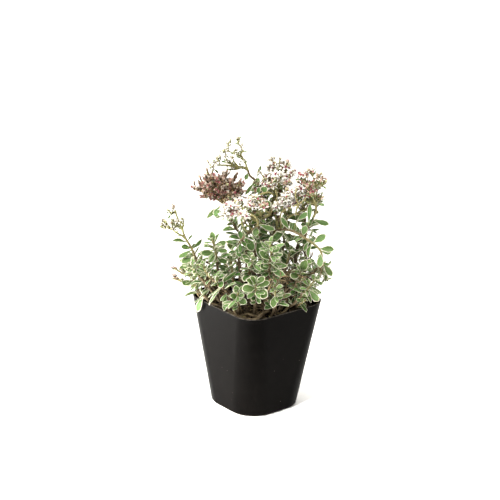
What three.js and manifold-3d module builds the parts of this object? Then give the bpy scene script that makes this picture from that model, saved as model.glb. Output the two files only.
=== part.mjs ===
// A variegated two-row stonecrop in a black, tapered, square nursery pot with round corners.
// Millimetres, +Z up. The origin is the centre of the pot's flat base, and X and Y run square to its walls.
// The plant is laid out in a picture frame (u right, v away, w up) that is turned about the pot's axis.
import * as THREE from "three";
import { mergeVertices } from "three/addons/utils/BufferGeometryUtils.js";
import Module from "manifold-3d";

const wasm = await Module();
wasm.setup();

// Driving dimensions
const POT_TOP_SIDE = 90;
const POT_BASE_SIDE = 66.6;
const POT_HEIGHT = 98;
const POT_TOP_CORNER = 18.5;
const POT_BASE_CORNER = 23.5;
const POT_WALL = 1.2;
const POT_FLOOR = 2;
const POT_BASE_EDGE = 2.2;
const POT_CORNER_STEPS = 5;
const DRAIN_HOLE_RADIUS = 3.5;
const DRAIN_HOLE_OFFSET = 17;
const SOIL_GAP = 0.3;
const SOIL_EDGE_DROP = 9;
const SOIL_MOUND = 5;
const FOOT_DEPTH = 12;
const FOOT_CLEARANCE = 0.4;
const HOLE_SIDES = 4;
const STEM_SIDES = 4;
const STEM_STEP = 11;
const LEAF_WIDTH_SHARE = 0.235;
const LEAF_TO_LIGHT = 0.4;
const LEAF_ROLL = 50;
const LEAF_THICKNESS = 1.2;
const LEAF_BEND = 0.14;
const LARGE_LEAF = 17;
const SMALL_LEAF = 8;
const PLANT_TURN = THREE.MathUtils.degToRad(49.7);
const HEAD_GAP = 0.35;
const LONG_ARM = 15;
const PETALS = 5;
const PETAL_THICKNESS = 0.9;
const GOLDEN_ANGLE = Math.PI * (3 - Math.sqrt(5));

const COLOURS = {
  pot: 0x1c1b1a,
  soil: 0x2f251d,
  foliage: 0x8fa878,
  fresh: 0xe9dfd8,
  spent: 0x8a6a5e,
  airy: 0xa7ad74,
};

// Leafy and flowering stems, the nearest to the eye first. foot is where it leaves the soil (u, v);
// way lists the points that it grows through, to its tip; radius is at foot and tip. The leaves run in
// opposite pairs from a share of the way to the tip, or to the share tipClear below a flower head, with
// lengths and spreads given at the lowest and the highest pair. chosen lists leaves with places of their
// own: share of the way, point of the tip, half width as a share of the length, and roll in degrees.
const STEMS = [
  { name: "stem_front_centre", foot: [-2, -36], way: [[-1, -40, 110], [-1, -43, 119], [-1, -46, 127]],
    radius: [1.3, 1.1], leaves: { from: 0.45, pairs: 3, length: [8, 6.5], spread: [80, 45] },
    seed: 11,
    chosen: [[0.81, [-12, -52, 124], 0.34, 0], [0.9, [-9, -50, 131], 0.32, 0],
      [0.94, [-5, -47, 134], 0.3, 0], [0.94, [5, -46, 134], 0.3, 10], [0.85, [10, -46, 129], 0.24, 20],
      [0.72, [9, -52, 119], 0.36, 0], [0.64, [-8, -49, 115], 0.26, 25], [0.42, [3, -50, 111], 0.22, 20]] },
  { name: "stem_front_left", foot: [-15, -33], way: [[-15, -38, 103], [-16, -41, 111], [-16, -43, 118]],
    radius: [1.3, 1], leaves: { from: 0.4, pairs: 4, length: [7.5, 6], spread: [84, 45] },
    seed: 12,
    chosen: [[0.52, [-9, -47, 111], 0.3, 0], [0.47, [-21, -46, 106], 0.36, 0],
      [0.66, [-22, -45, 115], 0.38, 0], [0.8, [-18, -44, 124], 0.3, 0],
      [0.75, [-9, -46, 118], 0.3, 10], [0.84, [-22, -44, 120], 0.3, 10]] },
  { name: "stem_front_right_runner", foot: [24, -22],
    way: [[29, -26, 100], [37, -28, 109], [43, -28, 117], [49, -28, 125]],
    radius: [1.7, 1.25], leaves: { from: 0.55, pairs: 3, length: [9, 7], spread: [70, 36] },
    seed: 13,
    chosen: [[0.26, [33, -32, 92], 0.27, 0], [0.54, [42, -32, 103], 0.34, 0],
      [0.75, [54, -26, 105], 0.2, 25], [0.65, [47, -31, 106], 0.24, 0],
      [0.84, [56, -22, 109], 0.18, 50], [0.81, [37, -28, 127], 0.2, 30],
      [0.61, [28, -30, 120], 0.2, 30], [0.98, [56, -28, 121], 0.2, 20], [0.97, [47, -28, 130], 0.3, 0]] },
  { name: "stem_front_low", foot: [12, -37], way: [[16, -42, 107], [16, -45, 115], [15, -47, 122]],
    radius: [1.3, 1.1], leaves: { from: 0.3, pairs: 3, length: [10, 8], spread: [85, 50] },
    seed: 14,
    chosen: [[0.77, [13, -51, 108], 0.28, 0], [0.39, [25, -44, 109], 0.2, 40],
      [0.52, [22, -46, 117], 0.28, 0]] },
  { name: "stem_front_upright", foot: [10, -24],
    way: [[10, -31, 128], [10, -34, 140], [11, -36, 152], [10, -37, 159]],
    radius: [1.4, 1.1], leaves: { from: 0.62, pairs: 2, length: [9, 7], spread: [70, 34] },
    seed: 15,
    chosen: [[0.59, [2, -42, 154], 0.24, 0], [0.52, [25, -40, 141], 0.17, 60],
      [0.72, [18, -39, 157], 0.28, 0], [0.65, [21, -40, 151], 0.17, 60],
      [0.44, [2, -42, 140], 0.34, 10], [0.38, [23, -42, 134], 0.2, 20],
      [0.53, [-2, -39, 142], 0.2, 40], [0.31, [4, -42, 131], 0.25, 20]] },
  { name: "stem_front_small", foot: [-6, -22], way: [[-5, -27, 128], [-5, -29, 137], [-5, -31, 144]],
    radius: [1.3, 1], leaves: { from: 0.5, pairs: 3, length: [9, 7], spread: [75, 36] },
    seed: 16,
    chosen: [[0.68, [-11, -36, 144], 0.25, 10], [0.57, [1, -36, 133], 0.22, 0],
      [0.42, [-14, -34, 132], 0.2, 30], [0.38, [-11, -37, 125], 0.3, 10]] },
  { name: "stem_left_runner", foot: [-17, -24],
    way: [[-26, -31, 113], [-36, -27, 121], [-42, -26, 126], [-46, -25, 133]],
    radius: [1.6, 1.2], leaves: { from: 0.6, pairs: 3, length: [10, 8], spread: [74, 44] },
    seed: 17,
    chosen: [[0.25, [-28, -39, 99], 0.14, 0], [0.36, [-41, -27, 99], 0.14, 45],
      [0.51, [-51, -20, 104], 0.13, 60], [0.45, [-28, -36, 121], 0.34, 0],
      [0.58, [-28, -30, 129], 0.2, 20], [0.39, [-18, -26, 131], 0.16, 60],
      [0.79, [-53, -20, 120], 0.2, 30]] },
  { name: "stem_left_low", foot: [-26, -20], way: [[-45, -22, 118], [-52, -21, 125], [-57, -20, 131]],
    radius: [1.4, 1.1], leaves: { from: 0.35, pairs: 5, length: [12, 9], spread: [80, 45] },
    seed: 18 },
  { name: "stem_left_rim", foot: [-33, -14],
    way: [[-45, -17, 103], [-51, -14, 108], [-54, -12, 114], [-57, -10, 120]],
    radius: [1.6, 1.1], leaves: { from: 0.5, pairs: 4, length: [10, 9], spread: [80, 55] },
    seed: 19,
    chosen: [[0.28, [-52, -14, 86], 0.15, 20], [0.72, [-65, -14, 114], 0.26, 0]] },
  { name: "stem_left_pale", foot: [-28, -8],
    way: [[-34, -12, 126], [-35, -14, 136], [-37, -15, 146], [-39, -17, 155]],
    radius: [1.4, 1.1], leaves: { from: 0.3, pairs: 3, length: [9, 7], spread: [78, 40] },
    seed: 20,
    chosen: [[0.9, [-39, -18, 162], 0.26, 0], [0.84, [-27, -16, 152], 0.24, 20],
      [0.72, [-26, -18, 145], 0.2, 40], [0.56, [-27, -20, 134], 0.3, 0],
      [0.8, [-47, -15, 149], 0.24, 20], [0.65, [-49, -18, 142], 0.24, 0],
      [0.62, [-42, -20, 135], 0.3, 20]] },
  { name: "stem_left_flowering", foot: [-34, 3],
    way: [[-46, 0, 117], [-52, -3, 130], [-58, -4, 143], [-62, -5, 150]],
    radius: [1.5, 1.2], leaves: { from: 0.25, pairs: 3, length: [11, 9], spread: [78, 60] },
    tipClear: 0.5, seed: 21,
    chosen: [[0.9, [-73, -8, 151], 0.15, 30], [0.93, [-57, -2, 154], 0.15, 0],
      [0.72, [-66, -8, 145], 0.26, 10], [0.7, [-68, -7, 133], 0.2, 30],
      [0.7, [-48, -2, 149], 0.17, 40], [0.69, [-55, 1, 145], 0.22, 0], [0.58, [-65, -12, 131], 0.28, 0]] },
  { name: "stem_left_side", foot: [-30, 11], way: [[-42, 7, 110], [-51, 4, 122], [-56, 3, 133]],
    radius: [1.4, 1.1], leaves: { from: 0.4, pairs: 4, length: [12, 10], spread: [78, 50] },
    seed: 49 },
  { name: "stem_left_outer", foot: [-36, -5], way: [[-48, -6, 115], [-54, -6, 122], [-60, -7, 128]],
    radius: [1.4, 1], leaves: { from: 0.36, pairs: 5, length: [12, 9], spread: [78, 50] },
    seed: 22 },
  { name: "stem_white_head", foot: [-10, -12],
    way: [[-16, -14, 134], [-16, -15, 150], [-11, -17, 159], [-5, -18, 165], [-1, -19, 171],
      [-4, -20, 178], [-10, -21, 180]],
    radius: [1.6, 1.25], leaves: { from: 0.2, pairs: 4, length: [12, 10], spread: [80, 62] },
    tipClear: 0.5, seed: 23,
    chosen: [[0.41, [-4, -22, 148], 0.3, 0], [0.64, [-2, -27, 163], 0.32, 0],
      [0.7, [14, -16, 165], 0.16, 45], [0.3, [-19, -20, 143], 0.25, 20]] },
  { name: "stem_centre_olive", foot: [-3, -3],
    way: [[-2, -8, 140], [-1, -11, 155], [0, -12, 168], [1, -12, 177], [0, -12, 183]],
    radius: [1.5, 1.2], leaves: { from: 0.2, pairs: 4, length: [14, 12], spread: [78, 66] },
    tipClear: 0.6, seed: 24,
    chosen: [[0.45, [3, -20, 140], 0.18, 10], [0.69, [8, -16, 170], 0.25, 20],
      [0.71, [-7, -16, 169], 0.25, 20]] },
  { name: "stem_centre_low", foot: [6, -8], way: [[9, -14, 118], [13, -21, 134]],
    radius: [1.4, 1.1], leaves: { from: 0.3, pairs: 4, length: [13, 10], spread: [82, 45] },
    seed: 42 },
  { name: "stem_left_middle", foot: [-18, -8], way: [[-21, -13, 118], [-23, -19, 137]],
    radius: [1.4, 1.1], leaves: { from: 0.3, pairs: 4, length: [13, 10], spread: [82, 45] },
    seed: 43 },
  { name: "stem_right_inner", foot: [21, 0], way: [[24, -5, 124], [27, -9, 143]],
    radius: [1.4, 1.1], leaves: { from: 0.3, pairs: 4, length: [14, 11], spread: [80, 45] },
    seed: 44 },
  { name: "stem_right_front", foot: [26, -10], way: [[33, -17, 111], [36, -20, 122], [37, -23, 131]],
    radius: [1.4, 1.1], leaves: { from: 0.3, pairs: 4, length: [11, 9], spread: [82, 42] },
    seed: 25,
    chosen: [[0.93, [41, -26, 141], 0.3, 0], [0.86, [28, -28, 128], 0.36, 0]] },
  { name: "stem_right_mid", foot: [33, -4], way: [[37, -11, 120], [40, -17, 139]],
    radius: [1.4, 1.1], leaves: { from: 0.3, pairs: 4, length: [12, 10], spread: [78, 42] },
    seed: 26 },
  { name: "stem_right_arching", foot: [14, -2],
    way: [[7, -4, 137], [11, -6, 154], [17, -8, 162], [25, -10, 163], [33, -12, 161], [42, -14, 156],
      [50, -14, 150], [54, -14, 144], [56, -13, 133]],
    radius: [1.6, 1.15], leaves: { from: 0.15, pairs: 3, length: [13, 11], spread: [74, 60] },
    tipClear: 0.36, seed: 27,
    chosen: [[0.42, [11, -14, 154], 0.24, 10], [0.47, [27, -12, 171], 0.24, 40],
      [0.61, [39, -15, 169], 0.3, 0], [0.67, [46, -12, 166], 0.2, 60],
      [0.62, [31, -16, 155], 0.16, 20], [0.6, [29, -9, 155], 0.15, 20],
      [0.72, [57, -17, 162], 0.24, 20], [0.81, [65, -14, 148], 0.24, 10],
      [0.85, [63, -9, 142], 0.18, 60], [0.88, [52, -21, 134], 0.25, 0],
      [0.71, [41, -16, 141], 0.2, 50], [0.68, [39, -11, 145], 0.22, 40],
      [0.98, [64, -14, 124], 0.22, 20], [0.99, [56, -11, 121], 0.18, 60],
      [0.98, [61, -17, 135], 0.24, 0], [0.53, [28, -7, 169], 0.36, 0], [0.47, [18, -14, 176], 0.18, 20]] },
  { name: "stem_right_drooping", foot: [36, 6],
    way: [[46, 2, 114], [51, -1, 126], [55, -3, 125], [58, -4, 118]],
    radius: [1.4, 1], leaves: { from: 0.35, pairs: 4, length: [11, 9], spread: [76, 48] },
    seed: 46 },
  { name: "stem_right_rim", foot: [31, -20], way: [[36, -25, 101], [42, -30, 108]],
    radius: [1.3, 1.1], leaves: { from: 0.3, pairs: 4, length: [11, 9], spread: [85, 50] },
    seed: 29 },
  { name: "stem_brown_head", foot: [-13, 8],
    way: [[-9, 8, 127], [-11, 8, 139], [-15, 8, 149], [-21, 8, 159], [-26, 7, 168], [-30, 6, 178]],
    radius: [1.7, 1.3], leaves: { from: 0.25, pairs: 4, length: [13, 12], spread: [74, 76] },
    tipClear: 0.7, seed: 30,
    chosen: [[0.99, [-37, 2, 168], 0.28, 0], [0.99, [-46, -1, 170], 0.19, 20],
      [0.61, [-13, 4, 151], 0.18, 40], [0.47, [-25, 4, 152], 0.19, 10],
      [0.44, [-24, 0, 149], 0.15, 20], [0.36, [-25, 2, 134], 0.19, 40]] },
  { name: "stem_top_arching", foot: [1, 15],
    way: [[3, 15, 128], [6, 16, 148], [7, 16, 168], [4, 15, 184], [-3, 14, 197], [-9, 14, 203],
      [-11, 13, 208]],
    radius: [1.7, 1.25], leaves: { from: 0.2, pairs: 5, length: [14, 12], spread: [76, 62] },
    tipClear: 0.66, seed: 31,
    chosen: [[0.57, [4, 9, 197], 0.4, 0], [0.61, [-2, 11, 195], 0.3, 30],
      [0.74, [-13, 10, 187], 0.16, 40], [0.94, [-13, 9, 201], 0.28, 0], [0.55, [-7, 8, 180], 0.18, 30]] },
  { name: "stem_pink_head", foot: [12, 11],
    way: [[12, 12, 128], [11, 14, 145], [10, 14, 162], [12, 14, 176], [16, 12, 188]],
    radius: [1.8, 1.4], leaves: { from: 0.3, pairs: 5, length: [15, 13], spread: [76, 60] },
    tipClear: 0.7, seed: 32,
    chosen: [[0.69, [8, 8, 162], 0.25, 10], [0.73, [18, 8, 165], 0.18, 40],
      [0.7, [5, 6, 182], 0.36, 0], [0.9, [22, 8, 178], 0.24, 20]] },
  { name: "stem_upper_right", foot: [20, 13],
    way: [[21, 13, 126], [22, 13, 142], [22, 12, 159], [25, 11, 170]],
    radius: [1.5, 1.1], leaves: { from: 0.3, pairs: 5, length: [14, 11], spread: [76, 44] },
    seed: 34 },
  { name: "stem_right_white_head", foot: [25, 8],
    way: [[32, 7, 117], [33, 6, 138], [36, 5, 152], [39, 4, 166], [38, 2, 178]],
    radius: [1.8, 1.35], leaves: { from: 0.35, pairs: 4, length: [13, 12], spread: [76, 66] },
    tipClear: 0.68, seed: 33,
    chosen: [[0.8, [32, 0, 173], 0.4, 0], [0.84, [23, -1, 171], 0.18, 30], [0.91, [43, 0, 176], 0.25, 0]] },
  { name: "stem_right_tall", foot: [36, 12],
    way: [[42, 10, 127], [39, 6, 143], [41, 0, 159], [45, -4, 170], [48, -6, 180], [47, -6, 187]],
    radius: [1.6, 1.25], leaves: { from: 0.3, pairs: 3, length: [12, 11], spread: [74, 70] },
    tipClear: 0.56, seed: 47,
    chosen: [[0.68, [60, -3, 167], 0.17, 50], [0.74, [42, -10, 167], 0.18, 30],
      [0.97, [56, -4, 185], 0.14, 70], [0.88, [42, -10, 179], 0.2, 20]] },
  { name: "stem_back_left", foot: [-20, 19], way: [[-26, 23, 112], [-31, 26, 130]],
    radius: [1.4, 1.1], leaves: { from: 0.3, pairs: 3, length: [14, 11], spread: [80, 40] },
    seed: 35 },
  { name: "stem_back_outer_left", foot: [-34, 13], way: [[-45, 16, 108], [-55, 16, 116]],
    radius: [1.4, 1], leaves: { from: 0.36, pairs: 3, length: [13, 11], spread: [80, 42] },
    seed: 36 },
  { name: "stem_back_centre", foot: [0, 27], way: [[1, 32, 120], [3, 36, 142]],
    radius: [1.4, 1.1], leaves: { from: 0.3, pairs: 4, length: [14, 11], spread: [80, 38] },
    seed: 37 },
  { name: "stem_back_right", foot: [23, 23], way: [[30, 29, 112], [37, 34, 130]],
    radius: [1.4, 1.1], leaves: { from: 0.3, pairs: 3, length: [14, 11], spread: [80, 40] },
    seed: 38 },
  { name: "stem_back_outer_right", foot: [28, 18], way: [[38, 22, 103], [47, 25, 112], [54, 26, 120]],
    radius: [1.4, 1], leaves: { from: 0.3, pairs: 3, length: [13, 11], spread: [80, 44] },
    seed: 41 },
  { name: "stem_back_inner", foot: [-6, 20], way: [[-8, 26, 116], [-8, 33, 131]],
    radius: [1.4, 1.1], leaves: { from: 0.3, pairs: 3, length: [14, 11], spread: [82, 44] },
    seed: 48 },
  { name: "stem_back_side", foot: [-25, 27], way: [[-31, 34, 108], [-37, 40, 120]],
    radius: [1.4, 1], leaves: { from: 0.3, pairs: 3, length: [13, 11], spread: [80, 44] },
    seed: 60 },
  { name: "stem_back_low", foot: [11, 36], way: [[14, 45, 107], [17, 53, 118]],
    radius: [1.3, 1], leaves: { from: 0.36, pairs: 3, length: [13, 11], spread: [80, 44] },
    seed: 39 },
  { name: "stem_back_low_left", foot: [-12, 36], way: [[-18, 44, 109], [-23, 50, 122]],
    radius: [1.3, 1], leaves: { from: 0.36, pairs: 3, length: [13, 11], spread: [80, 44] },
    seed: 40 },
];

// Flower heads, each on a stem's tip. Their arms pass through the points of way, from the stem's tip or from
// a knot of the arm on, where knot 2 is the first point of that arm's way. A dome's arms spread over it
// (centre, half sizes, number of arms, and cover: 1 for its upper half, 2 for all of it). cluster is the
// florets along each arm, stalk their own length of stalk, splay how far they lean to either side, open the
// share of open stars, and floret a bud's length or an open star's reach from its middle.
const HEADS = [
  { name: "head_white", stem: "stem_white_head", colour: "fresh", seed: 51,
    arms: [
      { way: [[-22, -22, 181]] }, { way: [[-20, -20, 186]] }, { on: 0, knot: 2, way: [[-26, -24, 185]] },
      { on: 0, knot: 2, way: [[-27, -26, 181]] }, { on: 0, knot: 2, way: [[-23, -27, 178]] },
      { way: [[-15, -16, 186]] }, { way: [[-15, -28, 179]] },
    ],
    cluster: 4, stalk: 2.4, splay: 0.9, open: 0.8, floret: 5.2 },
  { name: "head_centre", stem: "stem_centre_olive", colour: "fresh", seed: 58,
    arms: [
      { way: [[-8, -14, 187]] }, { way: [[-3, -15, 190]] }, { way: [[2, -10, 186]] },
      { way: [[-7, -19, 184]] }, { way: [[4, -18, 183]] },
    ],
    cluster: 3, stalk: 2.2, splay: 0.9, open: 0.55, floret: 4.8 },
  { name: "head_pink", stem: "stem_pink_head", colour: "fresh", seed: 52,
    arms: [
      { way: [[7, 8, 198], [1, 6, 207]] }, { way: [[11, 11, 202], [8, 10, 211]] },
      { on: 1, knot: 2, way: [[12, 13, 210], [11, 12, 217]] }, { way: [[16, 14, 199], [16, 13, 218]] },
      { on: 3, knot: 2, way: [[22, 14, 213]] }, { way: [[22, 12, 199], [26, 10, 208]] },
      { way: [[20, 20, 201], [20, 22, 208]] }, { way: [[10, 20, 194], [8, 24, 201]] },
      { way: [[14, 2, 200], [14, -1, 208]] }, { way: [[24, 4, 198]] }, { way: [[7, 2, 196]] },
    ],
    cluster: 3, stalk: 2.6, splay: 0.9, open: 0.68, floret: 5.2 },
  { name: "head_right_white", stem: "stem_right_white_head", colour: "fresh", seed: 53,
    arms: [
      { way: [[32, -2, 183], [24, -5, 183]] }, { on: 0, knot: 3, way: [[17, -8, 182]] },
      { on: 0, knot: 3, way: [[23, -6, 188]] }, { way: [[33, 0, 189], [30, 0, 195]] },
      { on: 3, knot: 2, way: [[25, -3, 194]] }, { way: [[37, -5, 192], [36, -7, 197]] },
      { way: [[41, 0, 186]] }, { way: [[34, 8, 186], [32, 12, 190]] },
    ],
    cluster: 3, stalk: 2.4, splay: 0.9, open: 0.78, floret: 5.2 },
  { name: "head_right_tall", stem: "stem_right_tall", colour: "fresh", seed: 54,
    arms: [
      { way: [[44, -4, 197], [39, -4, 204]] }, { on: 0, knot: 3, way: [[33, -3, 209]] },
      { on: 0, knot: 3, way: [[39, -6, 211]] }, { way: [[47, -8, 202], [48, -8, 211]] },
      { on: 3, knot: 2, way: [[42, -6, 213]] }, { on: 3, knot: 2, way: [[54, -10, 205]] },
      { way: [[49, 4, 195], [49, 8, 202]] }, { way: [[41, 4, 195], [35, 8, 200]] },
      { way: [[43, -10, 195], [41, -14, 201]] },
    ],
    cluster: 3, stalk: 2.2, splay: 0.9, open: 0.32, floret: 4.6 },
  { name: "head_brown", stem: "stem_brown_head", colour: "spent", seed: 55,
    dome: { centre: [-35, 6, 192], half: [20, 16, 13], arms: 14, cover: 1.4 },
    cluster: 4, stalk: 2.4, splay: 1.3, open: 0, floret: 5.4 },
  { name: "head_top_arching", stem: "stem_top_arching", colour: "airy", seed: 56,
    arms: [
      { way: [[-13, 13, 214], [-17, 12, 220]] }, { on: 0, knot: 3, way: [[-22, 12, 222], [-28, 12, 225]] },
      { on: 1, knot: 3, way: [[-27, 12, 229]] }, { on: 1, knot: 3, way: [[-31, 10, 222]] },
      { on: 0, knot: 3, way: [[-16, 12, 226], [-15, 13, 229]] },
      { on: 4, knot: 2, way: [[-19, 11, 231], [-19, 11, 235]] },
      { way: [[-19, 12, 211], [-25, 10, 215], [-30, 9, 219]] }, { on: 6, knot: 2, way: [[-24, 8, 221]] },
      { on: 6, knot: 2, way: [[-34, 9, 213], [-40, 9, 213], [-44, 9, 213]] },
      { on: 8, knot: 3, way: [[-40, 7, 208]] }, { on: 8, knot: 2, way: [[-36, 9, 217]] },
      { way: [[-21, 15, 208], [-29, 17, 207]] },
    ],
    cluster: 2, stalk: 2, splay: 0.9, open: 0.45, floret: 4.2 },
  { name: "head_left_airy", stem: "stem_left_flowering", colour: "airy", seed: 57,
    arms: [
      { way: [[-65, -6, 159], [-69, -6, 168], [-71, -7, 174]] }, { on: 0, knot: 4, way: [[-72, -7, 179]] },
      { on: 0, knot: 4, way: [[-76, -8, 174]] }, { on: 0, knot: 2, way: [[-64, -4, 165]] },
      { way: [[-68, -7, 155], [-74, -8, 160], [-79, -9, 165]] },
      { on: 4, knot: 4, way: [[-82, -10, 167]] }, { on: 4, knot: 3, way: [[-80, -11, 161]] },
      { on: 4, knot: 3, way: [[-72, -5, 164]] }, { on: 0, knot: 2, way: [[-70, -4, 161]] },
    ],
    cluster: 2, stalk: 2, splay: 0.9, open: 0.35, floret: 4.2 },
];

// Random numbers that repeat: a linear congruential sequence from a whole-number seed.
function seededRandom(seed) {
  let state = seed >>> 0;
  const next = () => {
    state = (state * 1664525 + 1013904223) >>> 0;
    return state / 4294967296;
  };
  for (let i = 0; i < 4; i++) next();
  return next;
}

const lerp = THREE.MathUtils.lerp;
const UP = new THREE.Vector3(0, 0, 1);
const AWAY = new THREE.Vector3(0, 1, 0);
const FRONT = new THREE.Vector3(0, -0.75, 0.65);

// A point or direction of the picture frame in the pot's frame.
function turned(p) {
  return p.clone().applyAxisAngle(UP, PLANT_TURN);
}

// The pot's outer half side and corner radius at a height.
function potSection(height) {
  const share = height / POT_HEIGHT;
  return {
    half: lerp(POT_BASE_SIDE, POT_TOP_SIDE, share) / 2,
    corner: lerp(POT_BASE_CORNER, POT_TOP_CORNER, share),
  };
}

// Distance of (x, y) outside the pot's outer wall at a height, negative inside it.
function outsidePot(x, y, height) {
  const { half, corner } = potSection(height);
  const dx = Math.abs(x) - (half - corner);
  const dy = Math.abs(y) - (half - corner);
  return Math.hypot(Math.max(dx, 0), Math.max(dy, 0)) + Math.min(Math.max(dx, dy), 0) - corner;
}

// Height of the mounded, uneven soil at (x, y).
function soilTop(x, y) {
  const spread = Math.min(1, Math.hypot(x, y) / (POT_TOP_SIDE / 2));
  const waves = 0.7 * Math.sin(x * 0.33) * Math.cos(y * 0.29 + 0.6);
  return POT_HEIGHT - SOIL_EDGE_DROP + SOIL_MOUND * (1 - spread * spread) + waves;
}

// A rounded square ring at a height, grown outwards by grow, counter-clockwise from above.
function squareRing(height, grow) {
  const { half, corner } = potSection(height);
  const points = [];
  for (let quarter = 0; quarter < 4; quarter++) {
    const corners = [[1, 1], [-1, 1], [-1, -1], [1, -1]][quarter];
    for (let step = 0; step <= POT_CORNER_STEPS; step++) {
      const angle = (Math.PI / 2) * (quarter + step / POT_CORNER_STEPS);
      const reach = corner + grow;
      points.push(new THREE.Vector3(corners[0] * (half - corner) + reach * Math.cos(angle),
        corners[1] * (half - corner) + reach * Math.sin(angle), height));
    }
  }
  return points;
}

// A closed body through rings with equal numbers of points, each end closed by a fan.
// Rings run counter-clockwise when seen from the last ring towards the first.
function loft(rings) {
  const n = rings[0].length;
  const positions = rings.flat().flatMap((p) => [p.x, p.y, p.z]);
  const faces = [];
  for (let i = 0; i + 1 < rings.length; i++) {
    for (let j = 0; j < n; j++) {
      const a = i * n + j;
      const b = i * n + ((j + 1) % n);
      faces.push(a, b, b + n, a, b + n, a + n);
    }
  }
  const last = (rings.length - 1) * n;
  for (let j = 1; j + 1 < n; j++) {
    faces.push(0, j + 1, j, last, last + j, last + j + 1);
  }
  return indexed(positions, faces);
}

function indexed(positions, faces) {
  const geometry = new THREE.BufferGeometry();
  geometry.setAttribute("position", new THREE.Float32BufferAttribute(positions, 3));
  geometry.setIndex(faces);
  return geometry;
}

// A ring of a tube: sides points round centre, square to direction, the first one at turn.
function tubeRing(centre, direction, radius, sides, turn) {
  const across = AWAY.clone().addScaledVector(direction, -AWAY.dot(direction)).normalize();
  const other = direction.clone().cross(across);
  return Array.from({ length: sides }, (_, j) => {
    const angle = turn + (2 * Math.PI * j) / sides;
    return centre.clone().addScaledVector(across, radius * Math.cos(angle))
      .addScaledVector(other, radius * Math.sin(angle));
  });
}

// A tube through points, with a radius at each.
function tube(points, radii, sides, turn = 0) {
  const rings = points.map((p, i) => {
    const ahead = points[Math.min(i + 1, points.length - 1)];
    const behind = points[Math.max(i - 1, 0)];
    return tubeRing(p, ahead.clone().sub(behind).normalize(), radii[i], sides, turn);
  });
  return loft(rings);
}

function solidOf(geometry) {
  const bare = geometry.clone();
  bare.deleteAttribute("normal");
  bare.deleteAttribute("uv");
  const merged = mergeVertices(bare, 1e-5);
  return new wasm.Manifold(new wasm.Mesh({
    numProp: 3,
    vertProperties: merged.attributes.position.array,
    triVerts: new Uint32Array(merged.index.array),
  }));
}

function faceted(points, faces) {
  return solidOf(indexed(points.flatMap((p) => p.toArray()), faces));
}

// Joins pieces, fills any hollow that they close off and drops loose scraps.
function joined(pieces) {
  const bodies = wasm.Manifold.union(pieces).decompose();
  return bodies.reduce((largest, body) => (body.volume() > largest.volume() ? body : largest));
}

function geometryOf(solid) {
  const mesh = solid.getMesh();
  const geometry = new THREE.BufferGeometry();
  geometry.setAttribute("position", new THREE.BufferAttribute(Float32Array.from(mesh.vertProperties), 3));
  geometry.setIndex(new THREE.BufferAttribute(Uint32Array.from(mesh.triVerts), 1));
  return geometry;
}

// Occupied space as small balls, kept in a grid of cells, so that no leaf or floret grows through another.
const CELL = 4;
const occupied = new Map();
const cellKey = (x, y, z) => `${x},${y},${z}`;

function occupy(owner, balls) {
  for (const ball of balls) {
    const key = cellKey(...ball.at.toArray().map((c) => Math.floor(c / CELL)));
    if (!occupied.has(key)) occupied.set(key, []);
    occupied.get(key).push({ owner, ...ball });
  }
}

// True if no ball of another owner comes within gap of these, and none of the same owner within ownGap.
function isFree(owner, balls, gap, ownGap) {
  for (const ball of balls) {
    const [x, y, z] = ball.at.toArray().map((c) => Math.floor(c / CELL));
    for (let i = x - 1; i <= x + 1; i++)
      for (let j = y - 1; j <= y + 1; j++)
        for (let k = z - 1; k <= z + 1; k++)
          for (const other of occupied.get(cellKey(i, j, k)) ?? []) {
            const own = other.owner === owner;
            if (own && (ball.root || other.root)) continue;
            const reach = ball.radius + other.radius + (own ? ownGap : gap);
            if (ball.at.distanceToSquared(other.at) < reach * reach) return false;
          }
  }
  return true;
}

// True if the balls stay clear of the pot's wall and of the soil.
function clearOfPot(balls, margin) {
  return balls.every((ball) => {
    const p = turned(ball.at);
    const outside = outsidePot(p.x, p.y, Math.min(p.z, POT_HEIGHT));
    if (p.z > POT_HEIGHT + margin || outside > margin) return true;
    return outside < -(POT_WALL + margin) && p.z > soilTop(p.x, p.y) + margin;
  });
}

// A stem's line: straight down in the soil, then a smooth curve through its way.
function stemLine(stem) {
  const [u, v] = stem.foot;
  const ground = turned(new THREE.Vector3(u, v, 0));
  const level = soilTop(ground.x, ground.y);
  const bottom = new THREE.Vector3(u, v, level - FOOT_DEPTH);
  const collar = new THREE.Vector3(u, v, level + 1);
  const way = [collar, ...stem.way.map((p) => new THREE.Vector3(...p))];
  const length = way.slice(1).reduce((sum, p, i) => sum + p.distanceTo(way[i]), 0);
  return { bottom, length, curve: new THREE.CatmullRomCurve3(way, false, "catmullrom", 0.5) };
}

// A place on a stem at a share of its curve: point, direction and two directions square to it.
function placeOn(curve, share) {
  const step = 0.01;
  const at = curve.getPoint(share);
  const ahead = curve.getPoint(Math.min(1, share + step));
  const behind = curve.getPoint(Math.max(0, share - step));
  const along = ahead.sub(behind).normalize();
  const across = AWAY.clone().addScaledVector(along, -AWAY.dot(along)).normalize();
  const other = along.clone().cross(across);
  return { at, along, across, other };
}

// Half the blade's width at a share of its length, as a share of the widest half: spoon-shaped.
function bladeShape(share) {
  const widest = 0.62;
  if (share < widest) {
    const rise = share / widest;
    return 0.2 + 0.8 * rise * rise * (3 - 2 * rise);
  }
  const fall = (share - widest) / (1 - widest);
  return Math.max(0, 1 - fall ** 2.4) ** 0.7;
}

// A leaf's own axes: the face is level, rolled about direction.
function leafAxes(root, direction, level, roll) {
  const face = level.clone().multiplyScalar(Math.cos(roll))
    .addScaledVector(direction.clone().cross(level), Math.sin(roll));
  return { root, direction, face, side: direction.clone().cross(face) };
}

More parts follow.
